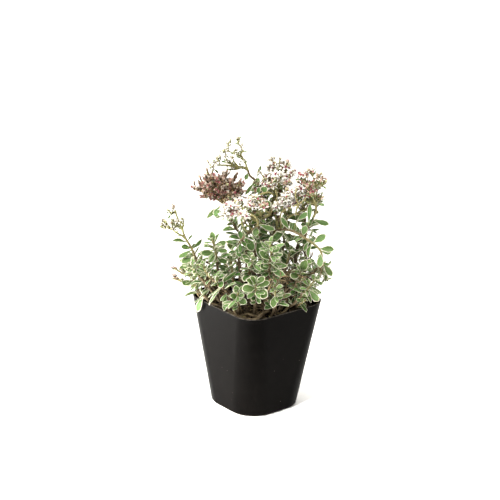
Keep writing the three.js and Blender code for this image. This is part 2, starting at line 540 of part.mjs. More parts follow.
// A leaf whose turn is its angle about the stem, spread its angle off the stem's direction and roll its
// angle about itself. Leaves turn their faces to the light, which is the sky and, the further out they
// stand, the side.
function leafFrame(place, turn, spread, roll) {
  const out = place.across.clone().multiplyScalar(Math.cos(turn))
    .addScaledVector(place.other, Math.sin(turn));
  const light = new THREE.Vector3(place.at.x / 45, place.at.y / 45, 1).normalize();
  const direction = out.clone().multiplyScalar(Math.sin(spread))
    .addScaledVector(place.along, Math.cos(spread)).addScaledVector(light, 0.15).normalize();
  const level = place.along.clone().multiplyScalar(Math.sin(spread)).addScaledVector(out, -Math.cos(spread))
    .addScaledVector(light, LEAF_TO_LIGHT);
  level.addScaledVector(direction, -level.dot(direction)).normalize();
  return leafAxes(place.at, direction, level, roll);
}

// A point of a leaf: share of its length, and offset across it and above its middle, in millimetres.
function leafPoint(leaf, share, across, above) {
  return leaf.root.clone().addScaledVector(leaf.direction, share * leaf.length)
    .addScaledVector(leaf.face, above - leaf.bend * leaf.length * share * share)
    .addScaledVector(leaf.side, across);
}

function leafBalls(leaf) {
  const balls = [];
  const radius = leaf.length > 9 ? 1.05 : 0.9;
  for (const share of [0.12, 0.3, 0.47, 0.64, 0.81, 0.97]) {
    const half = leaf.halfWidth * bladeShape(Math.min(share, 0.9));
    for (const across of share < 0.25 ? [0] : [-0.75, 0, 0.75]) {
      balls.push({ at: leafPoint(leaf, share, across * half, 0), radius, root: share < 0.4 });
    }
  }
  return balls;
}

// Ways to give way, tried in order: change of turn and spread in degrees, and of length.
const GIVE_WAY = [
  [0, 0, 1], [14, 0, 1], [-14, 0, 1], [0, -14, 1], [0, 14, 1], [26, -8, 0.95], [-26, -8, 0.95],
  [12, -24, 0.9], [-12, 24, 0.9], [38, 6, 0.85], [-38, 6, 0.85], [0, -30, 0.8], [20, 16, 0.75],
  [-20, -16, 0.75],
];

// The same for a leaf with a place of its own: change of roll in degrees, and of length.
const GIVE_WAY_CHOSEN = [[0, 1], [25, 1], [-25, 1], [0, 0.85], [50, 1], [-50, 1], [0, 0.7]];

// The angle about a stem of its first leaf, which the others and the stem's flat sides follow.
function firstTurn(stem) {
  return seededRandom(stem.seed)() * Math.PI;
}

// The leaves of a stem that have places of their own, each from the stem to its tip's point.
function chosenLeaves(stem) {
  const { curve } = stemLine(stem);
  const leaves = [];
  for (const [share, tip, width, roll] of stem.chosen ?? []) {
    const { at } = placeOn(curve, share);
    const reach = new THREE.Vector3(...tip).sub(at);
    const direction = reach.clone().normalize();
    const level = FRONT.clone().addScaledVector(direction, -FRONT.dot(direction)).normalize();
    for (const [rollChange, shrink] of GIVE_WAY_CHOSEN) {
      const leaf = leafAxes(at, direction, level, THREE.MathUtils.degToRad(roll + rollChange));
      leaf.length = reach.length() * shrink;
      leaf.halfWidth = width * leaf.length;
      leaf.bend = 0.3 * LEAF_BEND;
      const balls = leafBalls(leaf);
      if (!isFree(stem.name, balls, 0.4, -0.8) || !clearOfPot(balls, 0.9)) continue;
      occupy(stem.name, balls);
      leaves.push(leaf);
      break;
    }
  }
  return leaves;
}

// The leaves of a stem's pairs that find room.
function pairedLeaves(stem) {
  const { curve } = stemLine(stem);
  const { from, pairs, length, spread } = stem.leaves;
  const random = seededRandom(stem.seed * 7919);
  const leaves = [];
  for (let pair = 0; pair < pairs; pair++) {
    const rise = pairs > 1 ? pair / (pairs - 1) : 0;
    const share = lerp(from, stem.tipClear ?? 0.97, 1 - (1 - rise) ** 1.5);
    const place = placeOn(curve, share);
    for (const side of [0, 1]) {
      const jitter = Array.from({ length: 5 }, () => random() - 0.5);
      const full = lerp(length[0], length[1], rise) * (1 + 0.35 * jitter[0]);
      const roll = THREE.MathUtils.degToRad(LEAF_ROLL * jitter[4]);
      for (const [turnChange, spreadChange, shrink] of GIVE_WAY) {
        const turn = firstTurn(stem) + (Math.PI / 2) * pair + Math.PI * side + 0.5 * jitter[1]
          + THREE.MathUtils.degToRad(turnChange);
        const open = lerp(spread[0], spread[1], rise) + 22 * jitter[2] + spreadChange;
        const leaf = leafFrame(place, turn, THREE.MathUtils.degToRad(open), roll);
        leaf.length = full * shrink;
        leaf.halfWidth = leaf.length * LEAF_WIDTH_SHARE * (1 + 0.2 * jitter[3]);
        leaf.bend = LEAF_BEND * (0.4 + 1.2 * rise * (0.5 + jitter[3]));
        const balls = leafBalls(leaf);
        if (!isFree(stem.name, balls, 0.4, -0.3) || !clearOfPot(balls, 0.9)) continue;
        occupy(stem.name, balls);
        leaves.push(leaf);
        break;
      }
    }
  }
  return leaves;
}

// A leaf as a closed blade, flat above and keeled below, from a point inside the stem to a blunt tip, or
// to a pointed one if the leaf is small.
function leafSolid(leaf) {
  const shares = leaf.length > LARGE_LEAF ? [0.36, 0.72] : [0.62];
  const points = [leafPoint(leaf, 0, 0, 0)];
  for (const share of shares) {
    const half = leaf.halfWidth * bladeShape(share);
    points.push(leafPoint(leaf, share, half, 0), leafPoint(leaf, share, 0, -LEAF_THICKNESS),
      leafPoint(leaf, share, -half, 0));
  }
  const tip = points.length;
  if (leaf.length < SMALL_LEAF) {
    points.push(leafPoint(leaf, 1, 0, 0));
    return faceted(points, [0, 2, 1, 0, 3, 2, 0, 1, 3, 1, 2, 4, 2, 3, 4, 3, 1, 4]);
  }
  points.push(leafPoint(leaf, 1, 0.5 * leaf.halfWidth, 0), leafPoint(leaf, 1, -0.5 * leaf.halfWidth, 0));
  const faces = [0, 2, 1, 0, 3, 2, 0, 1, 3];
  if (shares.length > 1) {
    for (const [near, next] of [[1, 2], [2, 3], [3, 1]]) {
      faces.push(near, next, next + 3, near, next + 3, near + 3);
    }
  }
  const [left, keel, right] = [tip - 3, tip - 2, tip - 1];
  faces.push(left, keel, tip, keel, tip + 1, tip, keel, right, tip + 1);
  faces.push(left, tip, right, right, tip, tip + 1);
  return faceted(points, faces);
}

// The stem's middle line as points, and its radius at each.
function stemPoints(stem) {
  const { bottom, curve, length } = stemLine(stem);
  const steps = Math.max(3, Math.round(length / STEM_STEP));
  const points = [bottom];
  const radii = [stem.radius[0]];
  for (let i = 0; i <= steps; i++) {
    points.push(curve.getPoint(i / steps));
    radii.push(lerp(stem.radius[0], stem.radius[1], i / steps));
  }
  return { points, radii };
}

function stemBalls(stem) {
  const { curve, length } = stemLine(stem);
  const steps = Math.ceil(length / 1.5);
  return Array.from({ length: steps + 1 }, (_, i) => ({
    at: curve.getPoint(i / steps), radius: lerp(stem.radius[0], stem.radius[1], i / steps), root: true,
  }));
}

function stemSolid(stem, leaves) {
  const { points, radii } = stemPoints(stem);
  const flatSide = firstTurn(stem) + Math.PI / STEM_SIDES;
  return joined([solidOf(tube(points, radii, STEM_SIDES, flatSide)), ...leaves.map(leafSolid)]);
}

// A head's plan: where it stands, its arms and its florets that find room.
function headPlan(head) {
  const stem = STEMS.find((s) => s.name === head.stem);
  const [before, tip] = stemPoints(stem).points.slice(-2);
  const along = tip.clone().sub(before).normalize();
  const base = tip.clone().addScaledVector(along, HEAD_GAP);
  const random = seededRandom(head.seed * 7919);
  const arms = [];
  for (const { on, knot, way } of head.arms ?? domeArms(head.dome, random)) {
    const path = on === undefined
      ? armPath(base.clone().addScaledVector(along, 1.1), along, way, Math.min(0.8, 0.75 * stem.radius[1]))
      : branchPath(arms[on], knot, way);
    const outward = path.curve.getPoint(1).sub(base).setZ(0).normalize();
    const sideways = UP.clone().cross(outward);
    const florets = [];
    for (let i = 0; i < head.cluster; i++) {
      const jitter = [random(), random(), random(), random()].map((x) => x - 0.5);
      const isOpen = random() < head.open;
      const share = 0.96 - (0.55 * i) / head.cluster;
      const from = path.curve.getPoint(share);
      const lean = (i % 2 ? 1 : -1) * head.splay * (i ? 1 : 0.2) + 0.5 * jitter[0];
      const facing = UP.clone().addScaledVector(outward, 0.3 + 0.5 * (share - 0.5) + 0.6 * jitter[1])
        .addScaledVector(sideways, lean).normalize();
      const stalk = head.stalk * (0.8 + 0.7 * (0.5 + jitter[3]));
      const floret = { from, facing, isOpen, size: head.floret * (1 + 0.3 * jitter[2]), spin: 2 * jitter[0] };
      floret.seat = from.clone().addScaledVector(facing, stalk);
      const balls = floretBalls(floret);
      if (!isFree(head.name, balls, 0.9, -1.2)) continue;
      occupy(head.name, balls);
      florets.push(floret);
    }
    occupy(head.name, armBalls(path.curve));
    arms.push({ ...path, florets });
  }
  return { head, base, along, baseRadius: stem.radius[1], arms };
}

// Arms whose ends spread over an ellipsoid from its top, by the golden angle.
function domeArms(dome, random) {
  return Array.from({ length: dome.arms }, (_, i) => {
    const polar = Math.acos(1 - (dome.cover * (i + 0.5)) / dome.arms);
    const angle = GOLDEN_ANGLE * i + 0.4 * random();
    const reach = 0.9 + 0.16 * random();
    const way = [Math.sin(polar) * Math.cos(angle), Math.sin(polar) * Math.sin(angle), Math.cos(polar)];
    return { way: [way.map((x, axis) => dome.centre[axis] + dome.half[axis] * reach * x)] };
  });
}

// An arm leaves its start along a direction and turns through the points of its way.
function armPath(start, along, way, radius) {
  const ends = way.map((p) => new THREE.Vector3(...p));
  const middle = start.clone().lerp(ends[0], 0.5).addScaledVector(along, 0.14 * start.distanceTo(ends[0]));
  const points = [start, middle, ...ends];
  const length = points.slice(1).reduce((sum, p, i) => sum + p.distanceTo(points[i]), 0);
  const curve = new THREE.CatmullRomCurve3(points, false, "catmullrom", 0.5);
  return { curve, length, knots: ends.length + 1, radius };
}

// An arm that grows on a knot of another.
function branchPath(parent, knot, way) {
  const { at, along } = placeOn(parent.curve, knot / parent.knots);
  return armPath(at, along, way, 0.85 * parent.radius);
}

function armBalls(curve) {
  const steps = Math.ceil(curve.getLength() / 2);
  return Array.from({ length: steps + 1 }, (_, i) => ({
    at: curve.getPoint(i / steps), radius: 0.8, root: true,
  }));
}

// Directions square to a floret's own.
function floretAxes(facing) {
  const across = AWAY.clone().addScaledVector(facing, -AWAY.dot(facing)).normalize();
  return { across, other: facing.clone().cross(across) };
}

// A point of a floret: reach out from its middle line at an angle, and rise above its seat.
function floretPoint(floret, reach, angle, rise) {
  const { across, other } = floretAxes(floret.facing);
  return floret.seat.clone().addScaledVector(across, reach * Math.cos(angle))
    .addScaledVector(other, reach * Math.sin(angle)).addScaledVector(floret.facing, rise);
}

function floretBalls(floret) {
  const { size, isOpen, spin } = floret;
  const balls = [{ at: floretPoint(floret, 0, 0, 0.4 * size), radius: (isOpen ? 0.4 : 0.32) * size }];
  for (let petal = 0; isOpen && petal < PETALS; petal++) {
    const angle = (2 * Math.PI * petal) / PETALS + spin;
    balls.push({ at: floretPoint(floret, 0.72 * size, angle, 0.34 * size), radius: 0.26 * size });
  }
  return balls;
}

// A pointed bud or spent floret on its stalk, which starts inside the arm.
function budSolid(floret) {
  const { size, from } = floret;
  const thirds = [0, 1, 2].map((j) => (2 * Math.PI * j) / 3);
  const points = [from, ...thirds.map((angle) => floretPoint(floret, 0.26 * size, angle, 0.34 * size)),
    floretPoint(floret, 0, 0, size)];
  return faceted(points, [0, 2, 1, 0, 3, 2, 0, 1, 3, 4, 1, 2, 4, 2, 3, 4, 3, 1]);
}

// An open star of five pointed petals round a calyx that narrows down into the arm.
function starSolid(floret) {
  const { size, spin, from } = floret;
  const points = [from, floretPoint(floret, 0, 0, 0.06 * size + PETAL_THICKNESS)];
  const faces = [];
  for (let petal = 0; petal < PETALS; petal++) {
    const angle = (2 * Math.PI * petal) / PETALS + spin;
    points.push(floretPoint(floret, size, angle, 0.4 * size),
      floretPoint(floret, 0.36 * size, angle + Math.PI / PETALS, 0.1 * size));
    const tip = 2 * petal + 2;
    const notch = tip + 1;
    const nextTip = 2 * ((petal + 1) % PETALS) + 2;
    faces.push(1, tip, notch, 1, notch, nextTip, nextTip, notch, nextTip + 1, 0, nextTip + 1, notch);
  }
  return faceted(points, faces);
}

function headSolid(plan) {
  const { base, along, baseRadius } = plan;
  const top = base.clone().addScaledVector(along, 2);
  const pieces = [solidOf(tube([base, top], [baseRadius, baseRadius * 0.9], STEM_SIDES))];
  for (const arm of plan.arms) {
    const points = [arm.curve.getPoint(0)];
    for (let knot = arm.length > LONG_ARM ? 1 : 2; knot <= arm.knots; knot++) {
      points.push(arm.curve.getPoint(knot / arm.knots));
    }
    pieces.push(solidOf(tube(points, points.map(() => arm.radius), 3)));
    for (const floret of arm.florets) pieces.push(floret.isOpen ? starSolid(floret) : budSolid(floret));
  }
  return joined(pieces);
}

function potSolid() {
  const inner = -POT_WALL;
  const shell = solidOf(loft([
    squareRing(0, -POT_BASE_EDGE), squareRing(POT_BASE_EDGE * 0.35, -POT_BASE_EDGE * 0.3),
    squareRing(POT_BASE_EDGE, 0), squareRing(POT_HEIGHT, 0), squareRing(POT_HEIGHT, inner),
    squareRing(POT_FLOOR, inner)]));
  const holes = [[1, 1], [-1, 1], [-1, -1], [1, -1]].map(([x, y]) => {
    const drill = new THREE.CylinderGeometry(DRAIN_HOLE_RADIUS, DRAIN_HOLE_RADIUS, 3 * POT_FLOOR, 10);
    drill.rotateX(Math.PI / 2).translate(x * DRAIN_HOLE_OFFSET, y * DRAIN_HOLE_OFFSET, POT_FLOOR / 2);
    return solidOf(drill);
  });
  return shell.subtract(wasm.Manifold.union(holes));
}

function soilSolid() {
  const edge = -(POT_WALL + SOIL_GAP);
  const bottom = squareRing(POT_FLOOR + SOIL_GAP, edge);
  const rim = squareRing(POT_HEIGHT - SOIL_EDGE_DROP, edge);
  const top = [1, 0.75, 0.5, 0.25].map((share) => rim.map((p) =>
    new THREE.Vector3(p.x * share, p.y * share, soilTop(p.x * share, p.y * share))));
  const body = solidOf(loft([bottom, ...top]));
  const holes = STEMS.map((stem) => {
    const { bottom: foot } = stemLine(stem);
    const at = turned(foot);
    const depth = FOOT_DEPTH + SOIL_GAP;
    const radius = (stem.radius[0] + FOOT_CLEARANCE) / Math.cos(Math.PI / HOLE_SIDES);
    const drill = new THREE.CylinderGeometry(radius, radius, 2 * depth, HOLE_SIDES);
    drill.rotateX(Math.PI / 2).translate(at.x, at.y, at.z - SOIL_GAP + depth);
    return solidOf(drill);
  });
  return body.subtract(wasm.Manifold.union(holes));
}

function named(name, solid, colour, roughness) {
  const material = new THREE.MeshStandardMaterial({ color: colour, roughness, metalness: 0 });
  const mesh = new THREE.Mesh(geometryOf(solid), material);
  mesh.name = name;
  return mesh;
}

const pot = named("pot", potSolid(), COLOURS.pot, 0.5);
const soil = named("soil", soilSolid(), COLOURS.soil, 0.95);
const plant = new THREE.Group();
plant.rotation.z = PLANT_TURN;

for (const stem of STEMS) occupy(stem.name, stemBalls(stem));
const chosen = new Map(STEMS.map((stem) => [stem.name, chosenLeaves(stem)]));
const headPlans = HEADS.map(headPlan);
const leafPlans = STEMS.map((stem) => ({ stem, leaves: [...chosen.get(stem.name), ...pairedLeaves(stem)] }));
for (const { stem, leaves } of leafPlans) {
  plant.add(named(stem.name, stemSolid(stem, leaves), COLOURS.foliage, 0.6));
}
for (const plan of headPlans) {
  plant.add(named(plan.head.name, headSolid(plan), COLOURS[plan.head.colour], 0.7));
}

const part = new THREE.Group();
part.add(pot, soil, plant);
export default part;
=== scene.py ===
# The fine pieces of a potted two-row stonecrop, with their materials, a floor, soft light and a camera.
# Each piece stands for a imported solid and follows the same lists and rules. Lengths are in millimetres, and
# the plant is laid out in a picture frame (u right, v away, w up) that is turned about the pot's axis.
import functools
import math

import bmesh
import bpy
import numpy as np
from mathutils import Matrix, Quaternion, Vector, noise


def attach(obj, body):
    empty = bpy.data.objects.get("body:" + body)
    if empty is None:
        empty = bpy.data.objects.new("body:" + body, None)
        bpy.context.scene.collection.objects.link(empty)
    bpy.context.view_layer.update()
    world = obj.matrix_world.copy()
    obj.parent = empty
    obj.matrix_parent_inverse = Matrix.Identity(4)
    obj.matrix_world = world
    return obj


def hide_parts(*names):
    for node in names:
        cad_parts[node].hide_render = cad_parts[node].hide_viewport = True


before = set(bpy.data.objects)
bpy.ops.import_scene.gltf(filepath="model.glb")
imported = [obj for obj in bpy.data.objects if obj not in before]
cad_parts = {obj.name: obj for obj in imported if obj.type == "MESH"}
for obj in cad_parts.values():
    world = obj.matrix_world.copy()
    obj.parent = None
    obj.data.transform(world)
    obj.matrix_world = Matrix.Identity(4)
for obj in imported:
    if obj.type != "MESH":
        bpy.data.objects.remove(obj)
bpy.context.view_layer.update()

# Driving dimensions, as the part has them
POT_TOP_SIDE = 90
POT_BASE_SIDE = 66.6
POT_HEIGHT = 98
POT_TOP_CORNER = 18.5
POT_BASE_CORNER = 23.5
POT_WALL = 1.2
POT_FLOOR = 2
POT_BASE_EDGE = 2.2
DRAIN_HOLE_RADIUS = 3.5
DRAIN_HOLE_OFFSET = 17
SOIL_GAP = 0.3
SOIL_EDGE_DROP = 9
SOIL_MOUND = 5
SOIL_LEVEL = POT_HEIGHT - SOIL_EDGE_DROP
FOOT_DEPTH = 12
STEM_STEP = 11
LEAF_WIDTH_SHARE = 0.235
LEAF_TO_LIGHT = 0.4
LEAF_ROLL = 50
LEAF_BEND = 0.14
PLANT_TURN = math.radians(49.7)
HEAD_GAP = 0.35
PETALS = 5
GOLDEN_ANGLE = math.pi * (3 - math.sqrt(5))

# The room that the solids' leaves leave between them, and inside the pot, and what their draws start from
LEAF_GAP = 0.4
LEAF_MARGIN = 0.9
PLAN_SEED = 7919

# Finer dimensions
CORNER_STEPS = 16
STEM_RING_STEP = 1.3
STEM_RING_POINTS = 10
TIP_SHARE = 0.78
LEAF_ROWS = 12
SMALL_LEAF_ROWS = 8
DRY_LEAF_ROWS = 7
LEAF_DEPTH = 0.8

# How far fine growth and litter reach, the balls that stand for fine leaves, and how many dead bits there are
PLANT_REACH = 63.5
FINE_BALL = 0.45
FINE_MARGIN = 0.4
FINE_SEED = 104729
LITTER_REACH = 43
DEAD_STEMS = 64
DEAD_STEMS_IN_FRONT = 34
DEAD_TWIGS = 84
DEAD_TWIGS_AT_RIGHT = 34
FALLEN_LEAVES = 90
FALLEN_LEAVES_IN_FRONT = 40

# Millimetres in a metre, and the ways to the corners of a square
METRE = 1000
CORNERS = ((1, 1), (-1, 1), (-1, -1), (1, -1))


def leafy_stem(name, seed, foot, way, radius=(1.4, 1.1), start=0.3, pairs=3, length=(13, 11), spread=(80, 44),
               **more):
    """A stem and its leaves. Its leaf pairs start at a share of its way, and radius, length and spread in
    degrees go from its foot to its tip. A chosen leaf has a share, its tip's point, width share and roll."""
    return dict(name="stem_" + name, seed=seed, foot=foot, way=way, radius=radius, start=start, pairs=pairs,
                length=length, spread=spread, **more)


def arm_to(*way, **place):
    """An arm of a head through points. It may stand on a knot of another arm, which goes by its number."""
    return dict(way=way, **place)


def flower_head(name, stem, colour, seed, splay=0.9, **more):
    return dict(name="head_" + name, stem=stem, colour=colour, seed=seed, splay=splay, **more)


# The stems, placed after the photo: name, seed, foot and the points of the way in the picture frame
STEMS = [
    leafy_stem("front_centre", 11, (-2, -36), [(-1, -40, 110), (-1, -43, 119), (-1, -46, 127)],
        radius=(1.3, 1.1), start=0.45, length=(8, 6.5), spread=(80, 45),
        chosen=[(0.81, -12, -52, 124, 0.34, 0), (0.9, -9, -50, 131, 0.32, 0), (0.94, -5, -47, 134, 0.3, 0),
        (0.94, 5, -46, 134, 0.3, 10), (0.85, 10, -46, 129, 0.24, 20), (0.72, 9, -52, 119, 0.36, 0),
        (0.64, -8, -49, 115, 0.26, 25), (0.42, 3, -50, 111, 0.22, 20)]),
    leafy_stem("front_left", 12, (-15, -33), [(-15, -38, 103), (-16, -41, 111), (-16, -43, 118)],
        radius=(1.3, 1), start=0.4, pairs=4, length=(7.5, 6), spread=(84, 45),
        chosen=[(0.52, -9, -47, 111, 0.3, 0), (0.47, -21, -46, 106, 0.36, 0),
        (0.66, -22, -45, 115, 0.38, 0), (0.8, -18, -44, 124, 0.3, 0), (0.75, -9, -46, 118, 0.3, 10),
        (0.84, -22, -44, 120, 0.3, 10)]),
    leafy_stem("front_right_runner", 13, (24, -22), [(29, -26, 100), (37, -28, 109), (43, -28, 117),
        (49, -28, 125)], radius=(1.7, 1.25), start=0.55, length=(9, 7), spread=(70, 36),
        chosen=[(0.26, 33, -32, 92, 0.27, 0), (0.54, 42, -32, 103, 0.34, 0), (0.75, 54, -26, 105, 0.2, 25),
        (0.65, 47, -31, 106, 0.24, 0), (0.84, 56, -22, 109, 0.18, 50), (0.81, 37, -28, 127, 0.2, 30),
        (0.61, 28, -30, 120, 0.2, 30), (0.98, 56, -28, 121, 0.2, 20), (0.97, 47, -28, 130, 0.3, 0)]),
    leafy_stem("front_low", 14, (12, -37), [(16, -42, 107), (16, -45, 115), (15, -47, 122)],
        radius=(1.3, 1.1), length=(10, 8), spread=(85, 50), chosen=[(0.77, 13, -51, 108, 0.28, 0),
        (0.39, 25, -44, 109, 0.2, 40), (0.52, 22, -46, 117, 0.28, 0)]),
    leafy_stem("front_upright", 15, (10, -24), [(10, -31, 128), (10, -34, 140), (11, -36, 152),
        (10, -37, 159)], start=0.62, pairs=2, length=(9, 7), spread=(70, 34),
        chosen=[(0.59, 2, -42, 154, 0.24, 0), (0.52, 25, -40, 141, 0.17, 60), (0.72, 18, -39, 157, 0.28, 0),
        (0.65, 21, -40, 151, 0.17, 60), (0.44, 2, -42, 140, 0.34, 10), (0.38, 23, -42, 134, 0.2, 20),
        (0.53, -2, -39, 142, 0.2, 40), (0.31, 4, -42, 131, 0.25, 20)]),
    leafy_stem("front_small", 16, (-6, -22), [(-5, -27, 128), (-5, -29, 137), (-5, -31, 144)],
        radius=(1.3, 1), start=0.5, length=(9, 7), spread=(75, 36), chosen=[(0.68, -11, -36, 144, 0.25, 10),
        (0.57, 1, -36, 133, 0.22, 0), (0.42, -14, -34, 132, 0.2, 30), (0.38, -11, -37, 125, 0.3, 10)]),
    leafy_stem("left_runner", 17, (-17, -24), [(-26, -31, 113), (-36, -27, 121), (-42, -26, 126),
        (-46, -25, 133)], radius=(1.6, 1.2), start=0.6, length=(10, 8), spread=(74, 44),
        chosen=[(0.25, -28, -39, 99, 0.14, 0), (0.36, -41, -27, 99, 0.14, 45),
        (0.51, -51, -20, 104, 0.13, 60), (0.45, -28, -36, 121, 0.34, 0), (0.58, -28, -30, 129, 0.2, 20),
        (0.39, -18, -26, 131, 0.16, 60), (0.79, -53, -20, 120, 0.2, 30)]),
    leafy_stem("left_low", 18, (-26, -20), [(-45, -22, 118), (-52, -21, 125), (-57, -20, 131)],
        start=0.35, pairs=5, length=(12, 9), spread=(80, 45)),
    leafy_stem("left_rim", 19, (-33, -14), [(-45, -17, 103), (-51, -14, 108), (-54, -12, 114),
        (-57, -10, 120)], radius=(1.6, 1.1), start=0.5, pairs=4, length=(10, 9), spread=(80, 55),
        chosen=[(0.28, -52, -14, 86, 0.15, 20), (0.72, -65, -14, 114, 0.26, 0)]),
    leafy_stem("left_pale", 20, (-28, -8), [(-34, -12, 126), (-35, -14, 136), (-37, -15, 146),
        (-39, -17, 155)], length=(9, 7), spread=(78, 40), chosen=[(0.9, -39, -18, 162, 0.26, 0),
        (0.84, -27, -16, 152, 0.24, 20), (0.72, -26, -18, 145, 0.2, 40), (0.56, -27, -20, 134, 0.3, 0),
        (0.8, -47, -15, 149, 0.24, 20), (0.65, -49, -18, 142, 0.24, 0), (0.62, -42, -20, 135, 0.3, 20)]),
    leafy_stem("left_flowering", 21, (-34, 3), [(-46, 0, 117), (-52, -3, 130), (-58, -4, 143),
        (-62, -5, 150)], radius=(1.5, 1.2), start=0.25, length=(11, 9), spread=(78, 60), tip_clear=0.5,
        chosen=[(0.9, -73, -8, 151, 0.15, 30), (0.93, -57, -2, 154, 0.15, 0),
        (0.72, -66, -8, 145, 0.26, 10), (0.7, -68, -7, 133, 0.2, 30), (0.7, -48, -2, 149, 0.17, 40),
        (0.69, -55, 1, 145, 0.22, 0), (0.58, -65, -12, 131, 0.28, 0)]),
    leafy_stem("left_side", 49, (-30, 11), [(-42, 7, 110), (-51, 4, 122), (-56, 3, 133)], start=0.4,
        pairs=4, length=(12, 10), spread=(78, 50)),
    leafy_stem("left_outer", 22, (-36, -5), [(-48, -6, 115), (-54, -6, 122), (-60, -7, 128)],
        radius=(1.4, 1), start=0.36, pairs=5, length=(12, 9), spread=(78, 50)),
    leafy_stem("white_head", 23, (-10, -12), [(-16, -14, 134), (-16, -15, 150), (-11, -17, 159),
        (-5, -18, 165), (-1, -19, 171), (-4, -20, 178), (-10, -21, 180)], radius=(1.6, 1.25), start=0.2,
        pairs=4, length=(12, 10), spread=(80, 62), tip_clear=0.5, chosen=[(0.41, -4, -22, 148, 0.3, 0),
        (0.64, -2, -27, 163, 0.32, 0), (0.7, 14, -16, 165, 0.16, 45), (0.3, -19, -20, 143, 0.25, 20)]),
    leafy_stem("centre_olive", 24, (-3, -3), [(-2, -8, 140), (-1, -11, 155), (0, -12, 168),
        (1, -12, 177), (0, -12, 183)], radius=(1.5, 1.2), start=0.2, pairs=4, length=(14, 12),
        spread=(78, 66), tip_clear=0.6, chosen=[(0.45, 3, -20, 140, 0.18, 10),
        (0.69, 8, -16, 170, 0.25, 20), (0.71, -7, -16, 169, 0.25, 20)]),
    leafy_stem("centre_low", 42, (6, -8), [(9, -14, 118), (13, -21, 134)], pairs=4, length=(13, 10),
        spread=(82, 45)),
    leafy_stem("left_middle", 43, (-18, -8), [(-21, -13, 118), (-23, -19, 137)], pairs=4,
        length=(13, 10), spread=(82, 45)),
    leafy_stem("right_inner", 44, (21, 0), [(24, -5, 124), (27, -9, 143)], pairs=4, length=(14, 11),
        spread=(80, 45)),
    leafy_stem("right_front", 25, (26, -10), [(33, -17, 111), (36, -20, 122), (37, -23, 131)], pairs=4,
        length=(11, 9), spread=(82, 42), chosen=[(0.93, 41, -26, 141, 0.3, 0),
        (0.86, 28, -28, 128, 0.36, 0)]),
    leafy_stem("right_mid", 26, (33, -4), [(37, -11, 120), (40, -17, 139)], pairs=4, length=(12, 10),
        spread=(78, 42)),
    leafy_stem("right_arching", 27, (14, -2), [(7, -4, 137), (11, -6, 154), (17, -8, 162),
        (25, -10, 163), (33, -12, 161), (42, -14, 156), (50, -14, 150), (54, -14, 144), (56, -13, 133)],
        radius=(1.6, 1.15), start=0.15, spread=(74, 60), tip_clear=0.36,
        chosen=[(0.42, 11, -14, 154, 0.24, 10), (0.47, 27, -12, 171, 0.24, 40),
        (0.61, 39, -15, 169, 0.3, 0), (0.67, 46, -12, 166, 0.2, 60), (0.62, 31, -16, 155, 0.16, 20),
        (0.6, 29, -9, 155, 0.15, 20), (0.72, 57, -17, 162, 0.24, 20), (0.81, 65, -14, 148, 0.24, 10),
        (0.85, 63, -9, 142, 0.18, 60), (0.88, 52, -21, 134, 0.25, 0), (0.71, 41, -16, 141, 0.2, 50),
        (0.68, 39, -11, 145, 0.22, 40), (0.98, 64, -14, 124, 0.22, 20), (0.99, 56, -11, 121, 0.18, 60),
        (0.98, 61, -17, 135, 0.24, 0), (0.53, 28, -7, 169, 0.36, 0), (0.47, 18, -14, 176, 0.18, 20)]),
    leafy_stem("right_drooping", 46, (36, 6), [(46, 2, 114), (51, -1, 126), (55, -3, 125),
        (58, -4, 118)], radius=(1.4, 1), start=0.35, pairs=4, length=(11, 9), spread=(76, 48)),
    leafy_stem("right_rim", 29, (31, -20), [(36, -25, 101), (42, -30, 108)], radius=(1.3, 1.1), pairs=4,
        length=(11, 9), spread=(85, 50)),
    leafy_stem("brown_head", 30, (-13, 8), [(-9, 8, 127), (-11, 8, 139), (-15, 8, 149), (-21, 8, 159),
        (-26, 7, 168), (-30, 6, 178)], radius=(1.7, 1.3), start=0.25, pairs=4, length=(13, 12),
        spread=(74, 76), tip_clear=0.7, chosen=[(0.99, -37, 2, 168, 0.28, 0),
        (0.99, -46, -1, 170, 0.19, 20), (0.61, -13, 4, 151, 0.18, 40), (0.47, -25, 4, 152, 0.19, 10),
        (0.44, -24, 0, 149, 0.15, 20), (0.36, -25, 2, 134, 0.19, 40)]),
    leafy_stem("top_arching", 31, (1, 15), [(3, 15, 128), (6, 16, 148), (7, 16, 168), (4, 15, 184),
        (-3, 14, 197), (-9, 14, 203), (-11, 13, 208)], radius=(1.7, 1.25), start=0.2, pairs=5,
        length=(14, 12), spread=(76, 62), tip_clear=0.66, chosen=[(0.57, 4, 9, 197, 0.4, 0),
        (0.61, -2, 11, 195, 0.3, 30), (0.74, -13, 10, 187, 0.16, 40), (0.94, -13, 9, 201, 0.28, 0),
        (0.55, -7, 8, 180, 0.18, 30)]),
    leafy_stem("pink_head", 32, (12, 11), [(12, 12, 128), (11, 14, 145), (10, 14, 162), (12, 14, 176),
        (16, 12, 188)], radius=(1.8, 1.4), pairs=5, length=(15, 13), spread=(76, 60), tip_clear=0.7,
        chosen=[(0.69, 8, 8, 162, 0.25, 10), (0.73, 18, 8, 165, 0.18, 40), (0.7, 5, 6, 182, 0.36, 0),
        (0.9, 22, 8, 178, 0.24, 20)]),
    leafy_stem("upper_right", 34, (20, 13), [(21, 13, 126), (22, 13, 142), (22, 12, 159),
        (25, 11, 170)], radius=(1.5, 1.1), pairs=5, length=(14, 11), spread=(76, 44)),
    leafy_stem("right_white_head", 33, (25, 8), [(32, 7, 117), (33, 6, 138), (36, 5, 152), (39, 4, 166),
        (38, 2, 178)], radius=(1.8, 1.35), start=0.35, pairs=4, length=(13, 12), spread=(76, 66),
        tip_clear=0.68, chosen=[(0.8, 32, 0, 173, 0.4, 0), (0.84, 23, -1, 171, 0.18, 30),
        (0.91, 43, 0, 176, 0.25, 0)]),
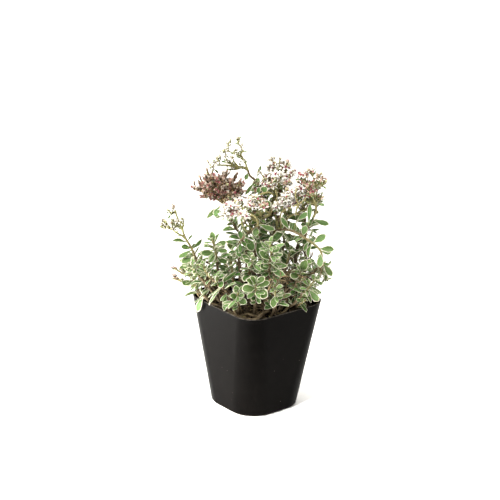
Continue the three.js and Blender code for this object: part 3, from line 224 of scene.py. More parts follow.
    leafy_stem("right_tall", 47, (36, 12), [(42, 10, 127), (39, 6, 143), (41, 0, 159), (45, -4, 170),
        (48, -6, 180), (47, -6, 187)], radius=(1.6, 1.25), length=(12, 11), spread=(74, 70), tip_clear=0.56,
        chosen=[(0.68, 60, -3, 167, 0.17, 50), (0.74, 42, -10, 167, 0.18, 30),
        (0.97, 56, -4, 185, 0.14, 70), (0.88, 42, -10, 179, 0.2, 20)]),
    leafy_stem("back_left", 35, (-20, 19), [(-26, 23, 112), (-31, 26, 130)], length=(14, 11),
        spread=(80, 40)),
    leafy_stem("back_outer_left", 36, (-34, 13), [(-45, 16, 108), (-55, 16, 116)], radius=(1.4, 1),
        start=0.36, spread=(80, 42)),
    leafy_stem("back_centre", 37, (0, 27), [(1, 32, 120), (3, 36, 142)], pairs=4, length=(14, 11),
        spread=(80, 38)),
    leafy_stem("back_right", 38, (23, 23), [(30, 29, 112), (37, 34, 130)], length=(14, 11),
        spread=(80, 40)),
    leafy_stem("back_outer_right", 41, (28, 18), [(38, 22, 103), (47, 25, 112), (54, 26, 120)],
        radius=(1.4, 1)),
    leafy_stem("back_inner", 48, (-6, 20), [(-8, 26, 116), (-8, 33, 131)], length=(14, 11),
        spread=(82, 44)),
    leafy_stem("back_side", 60, (-25, 27), [(-31, 34, 108), (-37, 40, 120)], radius=(1.4, 1)),
    leafy_stem("back_low", 39, (11, 36), [(14, 45, 107), (17, 53, 118)], radius=(1.3, 1), start=0.36),
    leafy_stem("back_low_left", 40, (-12, 36), [(-18, 44, 109), (-23, 50, 122)], radius=(1.3, 1),
        start=0.36),
]

# The flower heads: cluster is the number of florets on an arm, stalk the length of their stalks, floret their
# size, open the share of open ones and splay how far they lean apart
HEADS = [
    flower_head("white", "stem_white_head", "fresh", 51, cluster=4, stalk=2.4, open=0.8, floret=5.2,
        arms=[arm_to((-22, -22, 181)), arm_to((-20, -20, 186)), arm_to((-26, -24, 185), on=0, knot=2),
        arm_to((-27, -26, 181), on=0, knot=2), arm_to((-23, -27, 178), on=0, knot=2),
        arm_to((-15, -16, 186)), arm_to((-15, -28, 179))]),
    flower_head("centre", "stem_centre_olive", "fresh", 58, cluster=3, stalk=2.2, open=0.55, floret=4.8,
        arms=[arm_to((-8, -14, 187)), arm_to((-3, -15, 190)), arm_to((2, -10, 186)), arm_to((-7, -19, 184)),
        arm_to((4, -18, 183))]),
    flower_head("pink", "stem_pink_head", "fresh", 52, cluster=3, stalk=2.6, open=0.68, floret=5.2,
        arms=[arm_to((7, 8, 198), (1, 6, 207)), arm_to((11, 11, 202), (8, 10, 211)),
        arm_to((12, 13, 210), (11, 12, 217), on=1, knot=2), arm_to((16, 14, 199), (16, 13, 218)),
        arm_to((22, 14, 213), on=3, knot=2), arm_to((22, 12, 199), (26, 10, 208)),
        arm_to((20, 20, 201), (20, 22, 208)), arm_to((10, 20, 194), (8, 24, 201)),
        arm_to((14, 2, 200), (14, -1, 208)), arm_to((24, 4, 198)), arm_to((7, 2, 196))]),
    flower_head("right_white", "stem_right_white_head", "fresh", 53, cluster=3, stalk=2.4, open=0.78,
        floret=5.2, arms=[arm_to((32, -2, 183), (24, -5, 183)), arm_to((17, -8, 182), on=0, knot=3),
        arm_to((23, -6, 188), on=0, knot=3), arm_to((33, 0, 189), (30, 0, 195)),
        arm_to((25, -3, 194), on=3, knot=2), arm_to((37, -5, 192), (36, -7, 197)), arm_to((41, 0, 186)),
        arm_to((34, 8, 186), (32, 12, 190))]),
    flower_head("right_tall", "stem_right_tall", "fresh", 54, cluster=3, stalk=2.2, open=0.32,
        floret=4.6, arms=[arm_to((44, -4, 197), (39, -4, 204)), arm_to((33, -3, 209), on=0, knot=3),
        arm_to((39, -6, 211), on=0, knot=3), arm_to((47, -8, 202), (48, -8, 211)),
        arm_to((42, -6, 213), on=3, knot=2), arm_to((54, -10, 205), on=3, knot=2),
        arm_to((49, 4, 195), (49, 8, 202)), arm_to((41, 4, 195), (35, 8, 200)),
        arm_to((43, -10, 195), (41, -14, 201))]),
    flower_head("brown", "stem_brown_head", "spent", 55, cluster=4, stalk=2.4, open=0, floret=5.4,
        splay=1.3, dome=dict(centre=(-35, 6, 192), half=(20, 16, 13), arms=14, cover=1.4)),
    flower_head("top_arching", "stem_top_arching", "airy", 56, cluster=2, stalk=2, open=0.45,
        floret=4.2, arms=[arm_to((-13, 13, 214), (-17, 12, 220)),
        arm_to((-22, 12, 222), (-28, 12, 225), on=0, knot=3), arm_to((-27, 12, 229), on=1, knot=3),
        arm_to((-31, 10, 222), on=1, knot=3), arm_to((-16, 12, 226), (-15, 13, 229), on=0, knot=3),
        arm_to((-19, 11, 231), (-19, 11, 235), on=4, knot=2),
        arm_to((-19, 12, 211), (-25, 10, 215), (-30, 9, 219)), arm_to((-24, 8, 221), on=6, knot=2),
        arm_to((-34, 9, 213), (-40, 9, 213), (-44, 9, 213), on=6, knot=2),
        arm_to((-40, 7, 208), on=8, knot=3), arm_to((-36, 9, 217), on=8, knot=2),
        arm_to((-21, 15, 208), (-29, 17, 207))]),
    flower_head("left_airy", "stem_left_flowering", "airy", 57, cluster=2, stalk=2, open=0.35,
        floret=4.2, arms=[arm_to((-65, -6, 159), (-69, -6, 168), (-71, -7, 174)),
        arm_to((-72, -7, 179), on=0, knot=4), arm_to((-76, -8, 174), on=0, knot=4),
        arm_to((-64, -4, 165), on=0, knot=2), arm_to((-68, -7, 155), (-74, -8, 160), (-79, -9, 165)),
        arm_to((-82, -10, 167), on=4, knot=4), arm_to((-80, -11, 161), on=4, knot=3),
        arm_to((-72, -5, 164), on=4, knot=3), arm_to((-70, -4, 161), on=0, knot=2)]),
]

AWAY = np.array([0.0, 1.0, 0.0])
UP = np.array([0.0, 0.0, 1.0])
FRONT = np.array([0.0, -0.75, 0.65])


def lerp(a, b, share):
    return a + (b - a) * share


def smooth(low, high, x):
    """From 0 at low to 1 at high, with soft ends."""
    share = np.clip((x - low) / (high - low), 0, 1)
    return share * share * (3 - 2 * share)


def unit(vector):
    return vector / math.sqrt(vector @ vector)


def cross(a, b):
    return np.array([a[1] * b[2] - a[2] * b[1], a[2] * b[0] - a[0] * b[2], a[0] * b[1] - a[1] * b[0]])


def square_to(vector, direction):
    """The part of a vector that is square to a direction, one unit long."""
    return unit(vector - (vector @ direction) * direction)


def seeded_random(seed):
    """Random numbers that repeat: a linear congruential sequence from a whole-number seed."""
    state = seed & 0xFFFFFFFF

    def draw():
        nonlocal state
        state = (state * 1664525 + 1013904223) & 0xFFFFFFFF
        return state / 4294967296

    for _ in range(4):
        draw()
    return draw


def turned(point, angle=PLANT_TURN):
    """A point of the picture frame in the pot's frame."""
    c, s = math.cos(angle), math.sin(angle)
    return np.array([c * point[0] - s * point[1], s * point[0] + c * point[1], point[2]])


def pot_section(height):
    """The pot's outer half side and corner radius at a height."""
    share = height / POT_HEIGHT
    return lerp(POT_BASE_SIDE, POT_TOP_SIDE, share) / 2, lerp(POT_BASE_CORNER, POT_TOP_CORNER, share)


def outside_pot(x, y, height):
    """Distance of (x, y) outside the pot's outer wall at a height, negative inside it."""
    half, corner = pot_section(height)
    dx = abs(x) - (half - corner)
    dy = abs(y) - (half - corner)
    return math.hypot(max(dx, 0), max(dy, 0)) + min(max(dx, dy), 0) - corner


def soil_top(x, y):
    """Height of the mounded, uneven soil at (x, y)."""
    spread = min(1, math.hypot(x, y) / (POT_TOP_SIDE / 2))
    waves = 0.7 * math.sin(x * 0.33) * math.cos(y * 0.29 + 0.6)
    return SOIL_LEVEL + SOIL_MOUND * (1 - spread * spread) + waves


def near_wall(x, y, margin):
    """True if (x, y) isn't at least a margin inside the pot's inner wall, where the soil's edge is."""
    return outside_pot(x, y, SOIL_LEVEL) > -(POT_WALL + margin)


class Curve:
    """A Catmull-Rom curve through points."""

    def __init__(self, points):
        self.points = [np.array(p, float) for p in points]

    def at(self, share):
        points, last = self.points, len(self.points) - 1
        place = last * share
        i = min(int(place), last - 1)
        t = place - i
        p1, p2 = points[i], points[i + 1]
        p0 = points[i - 1] if i else 2 * p1 - p2
        p3 = points[i + 2] if i + 2 <= last else 2 * p2 - p1
        t1, t2 = (p2 - p0) / 2, (p3 - p1) / 2
        return p1 + t * t1 + t * t * (3 * (p2 - p1) - 2 * t1 - t2) + t ** 3 * (2 * (p1 - p2) + t1 + t2)

    def length(self, steps=200):
        line = np.array([self.at(i / steps) for i in range(steps + 1)])
        return np.linalg.norm(np.diff(line, axis=0), axis=1).sum()


# Occupied space as small balls, kept in a grid of cells, so that no leaf or floret grows through another
CELL = 4
occupied = {}


def occupy(owner, balls):
    for at, radius, root in balls:
        cell = tuple(math.floor(c / CELL) for c in at)
        occupied.setdefault(cell, []).append((owner, tuple(at), radius, root))


def is_free(owner, balls, gap, own_gap):
    """True if no ball of another owner comes within gap of these, and none of the same owner in own_gap."""
    near = (-1, 0, 1)
    for at, radius, root in balls:
        x, y, z = (math.floor(c / CELL) for c in at)
        cells = [(x + i, y + j, z + k) for i in near for j in near for k in near]
        for other_owner, other, other_radius, other_root in (b for c in cells for b in occupied.get(c, ())):
            own = other_owner == owner
            if own and (root or other_root):
                continue
            reach = radius + other_radius + (own_gap if own else gap)
            squares = (at[0] - other[0]) ** 2 + (at[1] - other[1]) ** 2 + (at[2] - other[2]) ** 2
            if squares < reach * reach:
                return False
    return True


def clear_of_pot(balls, margin):
    """True if the balls stay clear of the pot's wall and of the soil."""
    for at, _, _ in balls:
        x, y, z = turned(at)
        outside = outside_pot(x, y, min(z, POT_HEIGHT))
        if z > POT_HEIGHT + margin or outside > margin:
            continue
        if outside >= -(POT_WALL + margin) or z <= soil_top(x, y) + margin:
            return False
    return True


def takes_room(owner, balls, gap, own_gap, margin=None):
    """True, and their room taken, if balls are free and, where there is a margin, clear of pot and soil."""
    if not is_free(owner, balls, gap, own_gap) or (margin is not None and not clear_of_pot(balls, margin)):
        return False
    occupy(owner, balls)
    return True


def stem_line(stem):
    """A stem's line: straight down in the soil, then a smooth curve through its way."""
    u, v = stem["foot"]
    x, y, _ = turned((u, v, 0))
    level = soil_top(x, y)
    bottom = np.array([u, v, level - FOOT_DEPTH])
    curve = Curve([(u, v, level + 1), *stem["way"]])
    length = sum(math.dist(a, b) for a, b in zip(curve.points, curve.points[1:]))
    return bottom, curve, length


def place_on(curve, share):
    """A place on a stem at a share of its curve: point, direction and two directions square to it."""
    step = 0.01
    along = unit(curve.at(min(1, share + step)) - curve.at(max(0, share - step)))
    across = square_to(AWAY, along)
    return curve.at(share), along, across, cross(along, across)


def blade_shape(share):
    """Half the blade's width at a share of its length, as a share of the widest half: spoon-shaped."""
    widest = 0.62
    if share < widest:
        rise = share / widest
        return 0.2 + 0.8 * rise * rise * (3 - 2 * rise)
    fall = (share - widest) / (1 - widest)
    return max(0, 1 - fall ** 2.4) ** 0.7


def leaf_axes(root, direction, level, roll):
    """A leaf's own axes: the face is level, rolled about direction."""
    face = math.cos(roll) * level + math.sin(roll) * cross(direction, level)
    return {"root": root, "direction": direction, "face": face, "side": cross(direction, face)}


def leaf_frame(place, turn, spread, roll):
    """A leaf whose turn is its angle about the stem, spread its angle off the stem's direction and roll its
    angle about itself. Leaves turn their faces to the light, which is the sky and, the further out they
    stand, the side."""
    at, along, across, other = place
    out = math.cos(turn) * across + math.sin(turn) * other
    light = unit(np.array([at[0] / 45, at[1] / 45, 1]))
    direction = unit(math.sin(spread) * out + math.cos(spread) * along + 0.15 * light)
    level = square_to(math.sin(spread) * along - math.cos(spread) * out + LEAF_TO_LIGHT * light, direction)
    return leaf_axes(at, direction, level, roll)


def leaf_point(leaf, share, across, above):
    """A point of a leaf: share of its length, and offset across it and above its middle."""
    sink = leaf["bend"] * leaf["length"] * share * share
    return (leaf["root"] + share * leaf["length"] * leaf["direction"] + (above - sink) * leaf["face"]
            + across * leaf["side"])


def leaf_balls(leaf):
    radius = 1.05 if leaf["length"] > 9 else 0.9
    balls = []
    for share in (0.12, 0.3, 0.47, 0.64, 0.81, 0.97):
        half = leaf["half"] * blade_shape(min(share, 0.9))
        for across in (0,) if share < 0.25 else (-0.75, 0, 0.75):
            balls.append((leaf_point(leaf, share, across * half, 0), radius, share < 0.4))
    return balls


# Ways to give way, tried in order: change of turn and spread in degrees, and of length
GIVE_WAY = [
    (0, 0, 1), (14, 0, 1), (-14, 0, 1), (0, -14, 1), (0, 14, 1), (26, -8, 0.95), (-26, -8, 0.95),
    (12, -24, 0.9), (-12, 24, 0.9), (38, 6, 0.85), (-38, 6, 0.85), (0, -30, 0.8), (20, 16, 0.75),
    (-20, -16, 0.75),
]

# The same for a leaf with a place of its own: change of roll in degrees, and of length
GIVE_WAY_CHOSEN = [(0, 1), (25, 1), (-25, 1), (0, 0.85), (50, 1), (-50, 1), (0, 0.7)]


def first_turn(stem):
    """The angle about a stem of its first leaf, which the others follow."""
    return seeded_random(stem["seed"])() * math.pi


def pair_share(stem, rise):
    return lerp(stem["start"], stem.get("tip_clear", 0.97), 1 - (1 - rise) ** 1.5)


def chosen_leaves(stem):
    """The leaves of a stem that have places of their own, each from the stem to its tip's point."""
    _, curve, _ = stem_line(stem)
    leaves = []
    for share, *tip, width, roll in stem.get("chosen", ()):
        root = curve.at(share)
        reach = np.array(tip) - root
        direction = unit(reach)
        level = square_to(FRONT, direction)
        for roll_change, shrink in GIVE_WAY_CHOSEN:
            leaf = leaf_axes(root, direction, level, math.radians(roll + roll_change))
            length = math.sqrt(reach @ reach) * shrink
            leaf.update(length=length, half=width * length, bend=0.3 * LEAF_BEND, young=share)
            if takes_room(stem["name"], leaf_balls(leaf), LEAF_GAP, -0.8, LEAF_MARGIN):
                leaves.append(leaf)
                break
    return leaves


def paired_leaves(stem):
    """The leaves of a stem's pairs that find room."""
    _, curve, _ = stem_line(stem)
    draw = seeded_random(stem["seed"] * PLAN_SEED)
    leaves = []
    for pair in range(stem["pairs"]):
        rise = pair / (stem["pairs"] - 1)
        place = place_on(curve, pair_share(stem, rise))
        for side in (0, 1):
            jitter = [draw() - 0.5 for _ in range(5)]
            full = lerp(*stem["length"], rise) * (1 + 0.35 * jitter[0])
            for turn_change, spread_change, shrink in GIVE_WAY:
                turn = (first_turn(stem) + math.pi / 2 * pair + math.pi * side + 0.5 * jitter[1]
                        + math.radians(turn_change))
                spread = lerp(*stem["spread"], rise) + 22 * jitter[2] + spread_change
                leaf = leaf_frame(place, turn, math.radians(spread), math.radians(LEAF_ROLL * jitter[4]))
                length = full * shrink
                leaf.update(length=length, half=length * LEAF_WIDTH_SHARE * (1 + 0.2 * jitter[3]),
                            bend=LEAF_BEND * (0.4 + 1.2 * rise * (0.5 + jitter[3])), young=rise)
                if takes_room(stem["name"], leaf_balls(leaf), LEAF_GAP, -0.3, LEAF_MARGIN):
                    leaves.append(leaf)
                    break
    return leaves


def stem_balls(stem):
    _, curve, length = stem_line(stem)
    steps = math.ceil(length / 1.5)
    return [(curve.at(i / steps), lerp(*stem["radius"], i / steps), True) for i in range(steps + 1)]


def dome_arms(dome, draw):
    """Arms whose ends spread over an ellipsoid from its top, by the golden angle."""
    arms = []
    for i in range(dome["arms"]):
        polar = math.acos(1 - (dome["cover"] * (i + 0.5)) / dome["arms"])
        angle = GOLDEN_ANGLE * i + 0.4 * draw()
        reach = 0.9 + 0.16 * draw()
        across = math.sin(polar)
        way = np.array([across * math.cos(angle), across * math.sin(angle), math.cos(polar)])
        arms.append(arm_to(np.array(dome["centre"]) + np.array(dome["half"]) * reach * way))
    return arms


def arm_path(start, along, way, radius):
    """An arm leaves its start along a direction and turns through the points of its way."""
    ends = [np.array(p, float) for p in way]
    middle = lerp(start, ends[0], 0.5) + 0.14 * math.dist(start, ends[0]) * along
    return {"curve": Curve([start, middle, *ends]), "knots": len(ends) + 1, "radius": radius}


def branch_path(parent, knot, way):
    """An arm that grows on a knot of another."""
    at, along, _, _ = place_on(parent["curve"], knot / parent["knots"])
    return arm_path(at, along, way, 0.85 * parent["radius"])


def arm_balls(curve):
    steps = math.ceil(curve.length() / 2)
    return [(curve.at(i / steps), 0.8, True) for i in range(steps + 1)]


def floret_point(floret, reach, angle, rise):
    """A point of a floret: reach out from its middle line at an angle, and rise above its seat."""
    across = square_to(AWAY, floret["facing"])
    other = cross(floret["facing"], across)
    return (floret["seat"] + reach * math.cos(angle) * across + reach * math.sin(angle) * other
            + rise * floret["facing"])


def petal_angle(floret, number):
    """The angle of a floret's petal, counted from 0. Half numbers lie between the petals."""
    return 2 * math.pi * number / PETALS + floret["spin"]


def floret_balls(floret):
    size = floret["size"]
    balls = [(floret_point(floret, 0, 0, 0.4 * size), (0.4 if floret["is_open"] else 0.32) * size, False)]
    for petal in range(PETALS if floret["is_open"] else 0):
        point = floret_point(floret, 0.72 * size, petal_angle(floret, petal), 0.34 * size)
        balls.append((point, 0.26 * size, False))
    return balls


def grown_floret(head, path, outward, share, lean, jitter, is_open, shrink=1.0):
    """A floret on its stalk at a share of an arm."""
    start = path["curve"].at(share)
    facing = unit(UP + (0.3 + 0.5 * (share - 0.5) + 0.6 * jitter[1]) * outward + lean * cross(UP, outward))
    stalk = head["stalk"] * (0.8 + 0.7 * (0.5 + jitter[3])) * shrink
    return {"start": start, "facing": facing, "seat": start + stalk * facing, "is_open": is_open,
            "size": head["floret"] * (1 + 0.3 * jitter[2]) * shrink, "spin": 2 * jitter[0]}


def head_plan(head):
    """A head's plan: where it stands, its arms and its florets that find room."""
    stem = next(s for s in STEMS if s["name"] == head["stem"])
    _, curve, length = stem_line(stem)
    steps = max(3, round(length / STEM_STEP))
    tip = curve.at(1)
    along = unit(tip - curve.at((steps - 1) / steps))
    base = tip + HEAD_GAP * along
    draw = seeded_random(head["seed"] * PLAN_SEED)
    arms = []
    for plan in head["arms"] if "arms" in head else dome_arms(head["dome"], draw):
        if "on" in plan:
            path = branch_path(arms[plan["on"]], plan["knot"], plan["way"])
        else:
            path = arm_path(base + 1.1 * along, along, plan["way"], min(0.8, 0.75 * stem["radius"][1]))
        outward = unit((path["curve"].at(1) - base) * (1, 1, 0))
        florets = []
        for i in range(head["cluster"]):
            jitter = [draw() - 0.5 for _ in range(4)]
            is_open = draw() < head["open"]
            share = 0.96 - 0.55 * i / head["cluster"]
            lean = (1 if i % 2 else -1) * head["splay"] * (1 if i else 0.2) + 0.5 * jitter[0]
            floret = grown_floret(head, path, outward, share, lean, jitter, is_open)
            if takes_room(head["name"], floret_balls(floret), 0.9, -1.2):
                florets.append(floret)
        occupy(head["name"], arm_balls(path["curve"]))
        arms.append({**path, "outward": outward, "florets": florets, "is_branch": "on" in plan})
    return {"head": head, "base": base, "along": along, "radius": stem["radius"][1], "arms": arms}


# Materials

def linear(colour):
    """A colour given as sRGB bytes, in the numbers that Blender shades with."""
    parts = [int(colour[i:i + 2], 16) / 255 for i in (0, 2, 4)]
    return tuple(c / 12.92 if c <= 0.04045 else ((c + 0.055) / 1.055) ** 2.4 for c in parts) + (1,)


class Finish:
    """A procedural material under construction. Sizes and depths are in millimetres."""

    def __init__(self, name, roughness, specular):
        self.material = bpy.data.materials.new(name)
        self.material.use_nodes = True
        self.tree = self.material.node_tree
        self.shader = self.tree.nodes["Principled BSDF"]
        self.shader.inputs["Roughness"].default_value = roughness
        self.shader.inputs["Specular IOR Level"].default_value = specular
        self.place = self.tree.nodes.new("ShaderNodeTexCoord").outputs["Object"]

    def put(self, socket, value):
        if hasattr(value, "links"):
            self.tree.links.new(value, socket)
        else:
            socket.default_value = value

    def node(self, kind, **inputs):
        """A node with what its inputs are given, named with capitals and spaces as Blender has them."""
        node = self.tree.nodes.new("ShaderNode" + kind)
        for name, value in inputs.items():
            self.put(node.inputs[name.replace("_", " ")], value)
        return node

    def value(self, name):
        """A value that the mesh carries at each point."""
        node = self.node("Attribute")
        node.attribute_name = name
        return node.outputs["Fac"]

    def noise(self, size, detail=2.0, stretch=None, roughness=0.5):
        """Cloudy noise from 0 to 1, whose features are about size wide."""
        place = self.place
        if stretch:
            place = self.node("Mapping", Vector=place, Scale=stretch).outputs["Vector"]
        clouds = self.node("TexNoise", Vector=place, Scale=METRE / size, Detail=detail, Roughness=roughness)
        return clouds.outputs["Fac"]

    def cells(self, size):
        """Distance to the nearest of points that lie about size apart."""
        return self.node("TexVoronoi", Vector=self.place, Scale=METRE / size).outputs["Distance"]

    def math(self, operation, a, b):
        node = self.node("Math")
        node.operation = operation
        self.put(node.inputs[0], a)
        self.put(node.inputs[1], b)
        return node.outputs[0]

    def plus(self, a, b):
        return self.math("ADD", a, b)

    def times(self, a, b):
        return self.math("MULTIPLY", a, b)

    def stray(self, reach, size, detail=2.0):
        """Noise about 0 that seldom leaves it by half its reach."""
        return self.times(self.math("SUBTRACT", self.noise(size, detail), 0.5), reach)

    def ranged(self, value, low, high, to_low=0.0, to_high=1.0):
        """The value's way from low to high, with soft ends, as a number from to_low to to_high."""
        node = self.node("MapRange", From_Min=low, From_Max=high, To_Min=to_low, To_Max=to_high)
        node.interpolation_type = "SMOOTHSTEP"
        self.put(node.inputs["Value"], value)
        return node.outputs["Result"]

    def mix(self, share, a, b):
        """One colour turning into another. Colours are given as sRGB bytes or as sockets."""
        node = self.node("Mix")
        node.data_type = "RGBA"
        self.put(node.inputs[0], share)
        for socket, colour in zip((s for s in node.inputs if s.type == "RGBA"), (a, b)):
            self.put(socket, linear(colour) if isinstance(colour, str) else colour)
        return next(s for s in node.outputs if s.type == "RGBA")

    def clouds(self, a, b, size, detail=2.0, **more):
        """Two colours in clouds of about a size."""
        return self.mix(self.noise(size, detail, **more), a, b)

    def roughness(self, value):
        self.put(self.shader.inputs["Roughness"], value)

    def made(self, colour, height=None, depth=0.0):
        """The finished material: its colour, and its relief of a depth for a height from 0 to 1."""
        self.put(self.shader.inputs["Base Color"], colour)
        if height:
            bump = self.node("Bump", Distance=depth / METRE, Height=height)
            self.put(self.shader.inputs["Normal"], bump.outputs["Normal"])
        return self.material


def leaf_finish():
    """Sage green, with a crisp cream edge whose width wanders, and some pink."""
    f = Finish("variegated_leaf", 0.5, 0.35)
    tint, young, rim = f.value("tint"), f.value("young"), f.value("rim")
    wavy_rim = f.plus(rim, f.stray(1.1, 2.6, 3))
    green = f.mix(tint, f.clouds("305121", "4d7038", 1.6, 3), f.clouds("4d743a", "6a9255", 2.5))
    green = f.mix(f.times(young, 0.25), green, "8f9f5a")
    green = f.mix(f.times(f.value("under"), 0.55), green, "7d8558")
    band = f.mix(0.45, green, f.clouds("a0a773", "7f8f58", 1.2))
    inside = f.mix(f.ranged(wavy_rim, 1.1, 1.5), band, green)
    blush = f.times(f.ranged(f.noise(7), 0.52, 0.7), f.ranged(rim, 0.75, 0.1))
    blush = f.times(blush, f.ranged(tint, 0.35, 0.8, 0, 0.5))
    edge = f.mix(blush, f.clouds("d0caae", "f2eedc", 2), "c98f93")
    body = f.mix(f.ranged(wavy_rim, 0.88, 1.05), edge, inside)
    body = f.mix(f.times(f.ranged(f.value("vein"), 0.09, 0), 0.3), body, "a8b578")
    fleck = f.ranged(f.noise(4.5, 4, roughness=0.7), 0.66, 0.74, 0, 0.5)
    body = f.mix(f.times(fleck, f.ranged(young, 0.7, 0.1)), body, "8a7350")
    f.roughness(f.ranged(f.noise(0.9), 0.3, 0.7, 0.42, 0.6))
    f.shader.inputs["Subsurface Weight"].default_value = 0.05
    f.shader.inputs["Subsurface Radius"].default_value = (0.6, 0.9, 0.3)
    f.shader.inputs["Subsurface Scale"].default_value = 0.001
    return f.made(body, f.plus(f.noise(0.35), f.times(f.noise(1.8), 2)), 0.05)


def stem_finish():
    """Olive and tan near the tip, grey-brown and cracked where it is woody."""
    f = Finish("stem_bark", 0.7, 0.3)
    streaks = f.noise(0.7, 4, roughness=0.65)
    wood = f.plus(f.value("wood"), f.stray(0.35, 4))
    tan = f.mix(streaks, "645539", "978768")
    colour = f.mix(f.ranged(wood, 0.12, 0.42), f.clouds("7e784a", "a89f71", 3), tan)
    colour = f.mix(f.ranged(wood, 0.45, 0.85), colour, f.mix(streaks, "372c20", "827257"))
    colour = f.mix(f.times(f.value("scar"), 0.65), colour, "4b3a2c")
    f.roughness(f.ranged(streaks, 0.3, 0.7, 0.6, 0.85))
    return f.made(colour, f.plus(streaks, f.noise(0.25, 3)), 0.16)


def dry_leaf_finish():
    """Dead leaves: tan to brown, with dark blotches."""
    f = Finish("dry_leaf", 0.8, 0.25)
    colour = f.mix(f.times(f.value("tint"), 0.8), f.clouds("4c3d28", "857050", 3, 3), "998763")
    colour = f.mix(f.ranged(f.noise(1.1, 4), 0.55, 0.68, 0, 0.8), colour, "3f2c1d")
    return f.made(colour, f.noise(0.6, 4), 0.2)


def green_part_finish():
    """Flower stalks, arms and calyxes: olive with a touch of red."""
    f = Finish("flower_stalk", 0.55, 0.35)
    fresh, dry = f.clouds("7f844a", "adae74", 1.5, 3), f.clouds("655238", "a58f6b", 0.9, 3)
    colour = f.mix(f.ranged(f.noise(2.6), 0.6, 0.75, 0, 0.3), f.mix(f.value("wood"), fresh, dry), "8f6456")
    return f.made(colour, f.noise(0.4, 3), 0.05)


def petal_finish():
    """White petals with a faint rosy keel and tip."""
    f = Finish("white_petal", 0.5, 0.3)
    up = f.value("up")
    keel = f.times(f.ranged(f.value("vein"), 0.4, 0), f.ranged(up, 0.9, 0.1, 0.03, 0.25))
    colour = f.mix(f.times(keel, f.value("tint")), f.clouds("fcf8ee", "fffdf6", 1.2), "dfa2ae")
    return f.made(f.mix(f.ranged(up, 0.2, 0, 0, 0.6), colour, "c3c88e"), f.noise(0.3), 0.03)


def bud_finish():
    """Pointed buds: greenish at the base, cream, rose or crimson towards the tip."""
    f = Finish("flower_bud", 0.45, 0.4)
    tint = f.value("tint")
    up = f.plus(f.value("up"), f.stray(0.4, 1.1))
    pale = f.mix(f.ranged(tint, 0.35, 0.65), "c9c99c", "d8b0a6")
    tip = f.mix(f.ranged(tint, 0.7, 0.78), pale, f.clouds("962648", "b84168", 0.9))
    colour = f.mix(f.ranged(up, 0.3, 0.7), f.clouds("989c68", "bfbd90", 0.8), tip)
    return f.made(colour, f.noise(0.4), 0.04)


def carpel_finish():
    """The middle of a floret: tan and green in some, crimson in others."""
    f = Finish("crimson_carpel", 0.45, 0.4)
    pale, deep = f.clouds("8c8a54", "b59a7c", 0.9), f.clouds("8a1f45", "b93f68", 0.9)
    return f.made(f.mix(f.ranged(f.value("tint"), 0.5, 0.6), pale, deep), f.noise(0.3), 0.03)


def anther_finish():
    f = Finish("anther", 0.6, 0.3)
    return f.made(f.clouds("b38a7c", "d6bda4", 0.5), f.noise(0.2), 0.02)


def spent_finish():
    """Withered petals and seed pods: tan, with red or pale tips. The dark colour at their base is painted
    shade between the florets, and the pale tips are partly the pods' own colour and partly a painted
    highlight.
    """
    f = Finish("spent_flower", 0.75, 0.25)
    tint = f.value("tint")
    up = f.plus(f.value("up"), f.stray(0.5, 0.9, 3))
    # dark is painted shade at the base of each pod; the pale tips are partly a painted highlight
    dark, tan = f.clouds("1d1610", "493a2c", 0.8), f.clouds("8f7763", "d8c4af", 1.1, 3)
    red = f.mix(f.ranged(tint, 0.65, 0.71), "bf9b8a", f.clouds("96284b", "c4526d", 0.8))
    tips = f.mix(f.ranged(tint, 0.4, 0.46), "eee6d9", red)
    colour = f.mix(f.ranged(up, 0.52, 0.78, 0, 0.95), f.mix(f.ranged(up, 0.1, 0.68), dark, tan), tips)
    return f.made(colour, f.noise(0.4, 3), 0.08)


def pot_finish():
    """Satin black plastic with faint moulding marks and dust. The lighter line along its rim is a painted
    highlight, and its base edge is scuffed.
    """
    f = Finish("black_plastic", 0.34, 0.02)
    dust = f.times(f.ranged(f.noise(11, 5, roughness=0.7), 0.45, 0.75), 0.006)
    colour = f.mix(dust, f.clouds("040303", "080706", 26, 4), "6a6158")
    speck = f.times(f.ranged(f.cells(5.5), 0.085, 0.05), f.ranged(f.noise(22), 0.5, 0.62))
    colour = f.mix(f.times(speck, 0.28), colour, "8c8276")
    # Lighter colour on the marked edges: a painted highlight along the rim, scuffing at the base edge
    rim_highlight_and_scuff_share = f.times(f.value("worn"), f.ranged(f.noise(3, 4), 0.35, 0.65, 0.15, 0.5))
    f.roughness(f.ranged(f.noise(9, 4), 0.3, 0.7, 0.31, 0.38))
    return f.made(f.mix(rim_highlight_and_scuff_share, colour, "6b645c"), f.plus(f.noise(0.5, 3), f.times(f.noise(30), 2)), 0.02)


def soil_finish():
    """Dark, crumbly potting mix with paler fibres."""
    f = Finish("potting_mix", 0.95, 0.15)
    colour = f.clouds("030201", "18120b", 2.2, 5, roughness=0.7)
    colour = f.mix(f.ranged(f.cells(1.6), 0.25, 0.6), colour, "0e0a06")
    fibre = f.ranged(f.noise(1.3, 5, stretch=(1, 0.3, 1), roughness=0.7), 0.62, 0.74, 0, 0.8)
    return f.made(f.mix(fibre, colour, "62513a"), f.plus(f.noise(1.1, 5), f.noise(0.4, 3)), 0.7)


def bark_finish():
    """Bits of bark, wood and husk: brown to tan."""
    f = Finish("bark_bits", 0.85, 0.2)
    brown = f.clouds("2b2015", "74614a", 1.4, 4, stretch=(1, 1, 0.4))
    return f.made(f.mix(f.value("tint"), brown, f.clouds("66563e", "ab9a79", 0.9, 3)), f.noise(0.5, 4), 0.3)


def floor_finish():
    f = Finish("pale_floor", 0.75, 0.2)
    return f.made(f.clouds("f7f6f4", "fbfaf9", 180, 3))


# Meshes

def new_object(name, data):
    made = bpy.data.objects.new(name, data)
    bpy.context.scene.collection.objects.link(made)
    return made


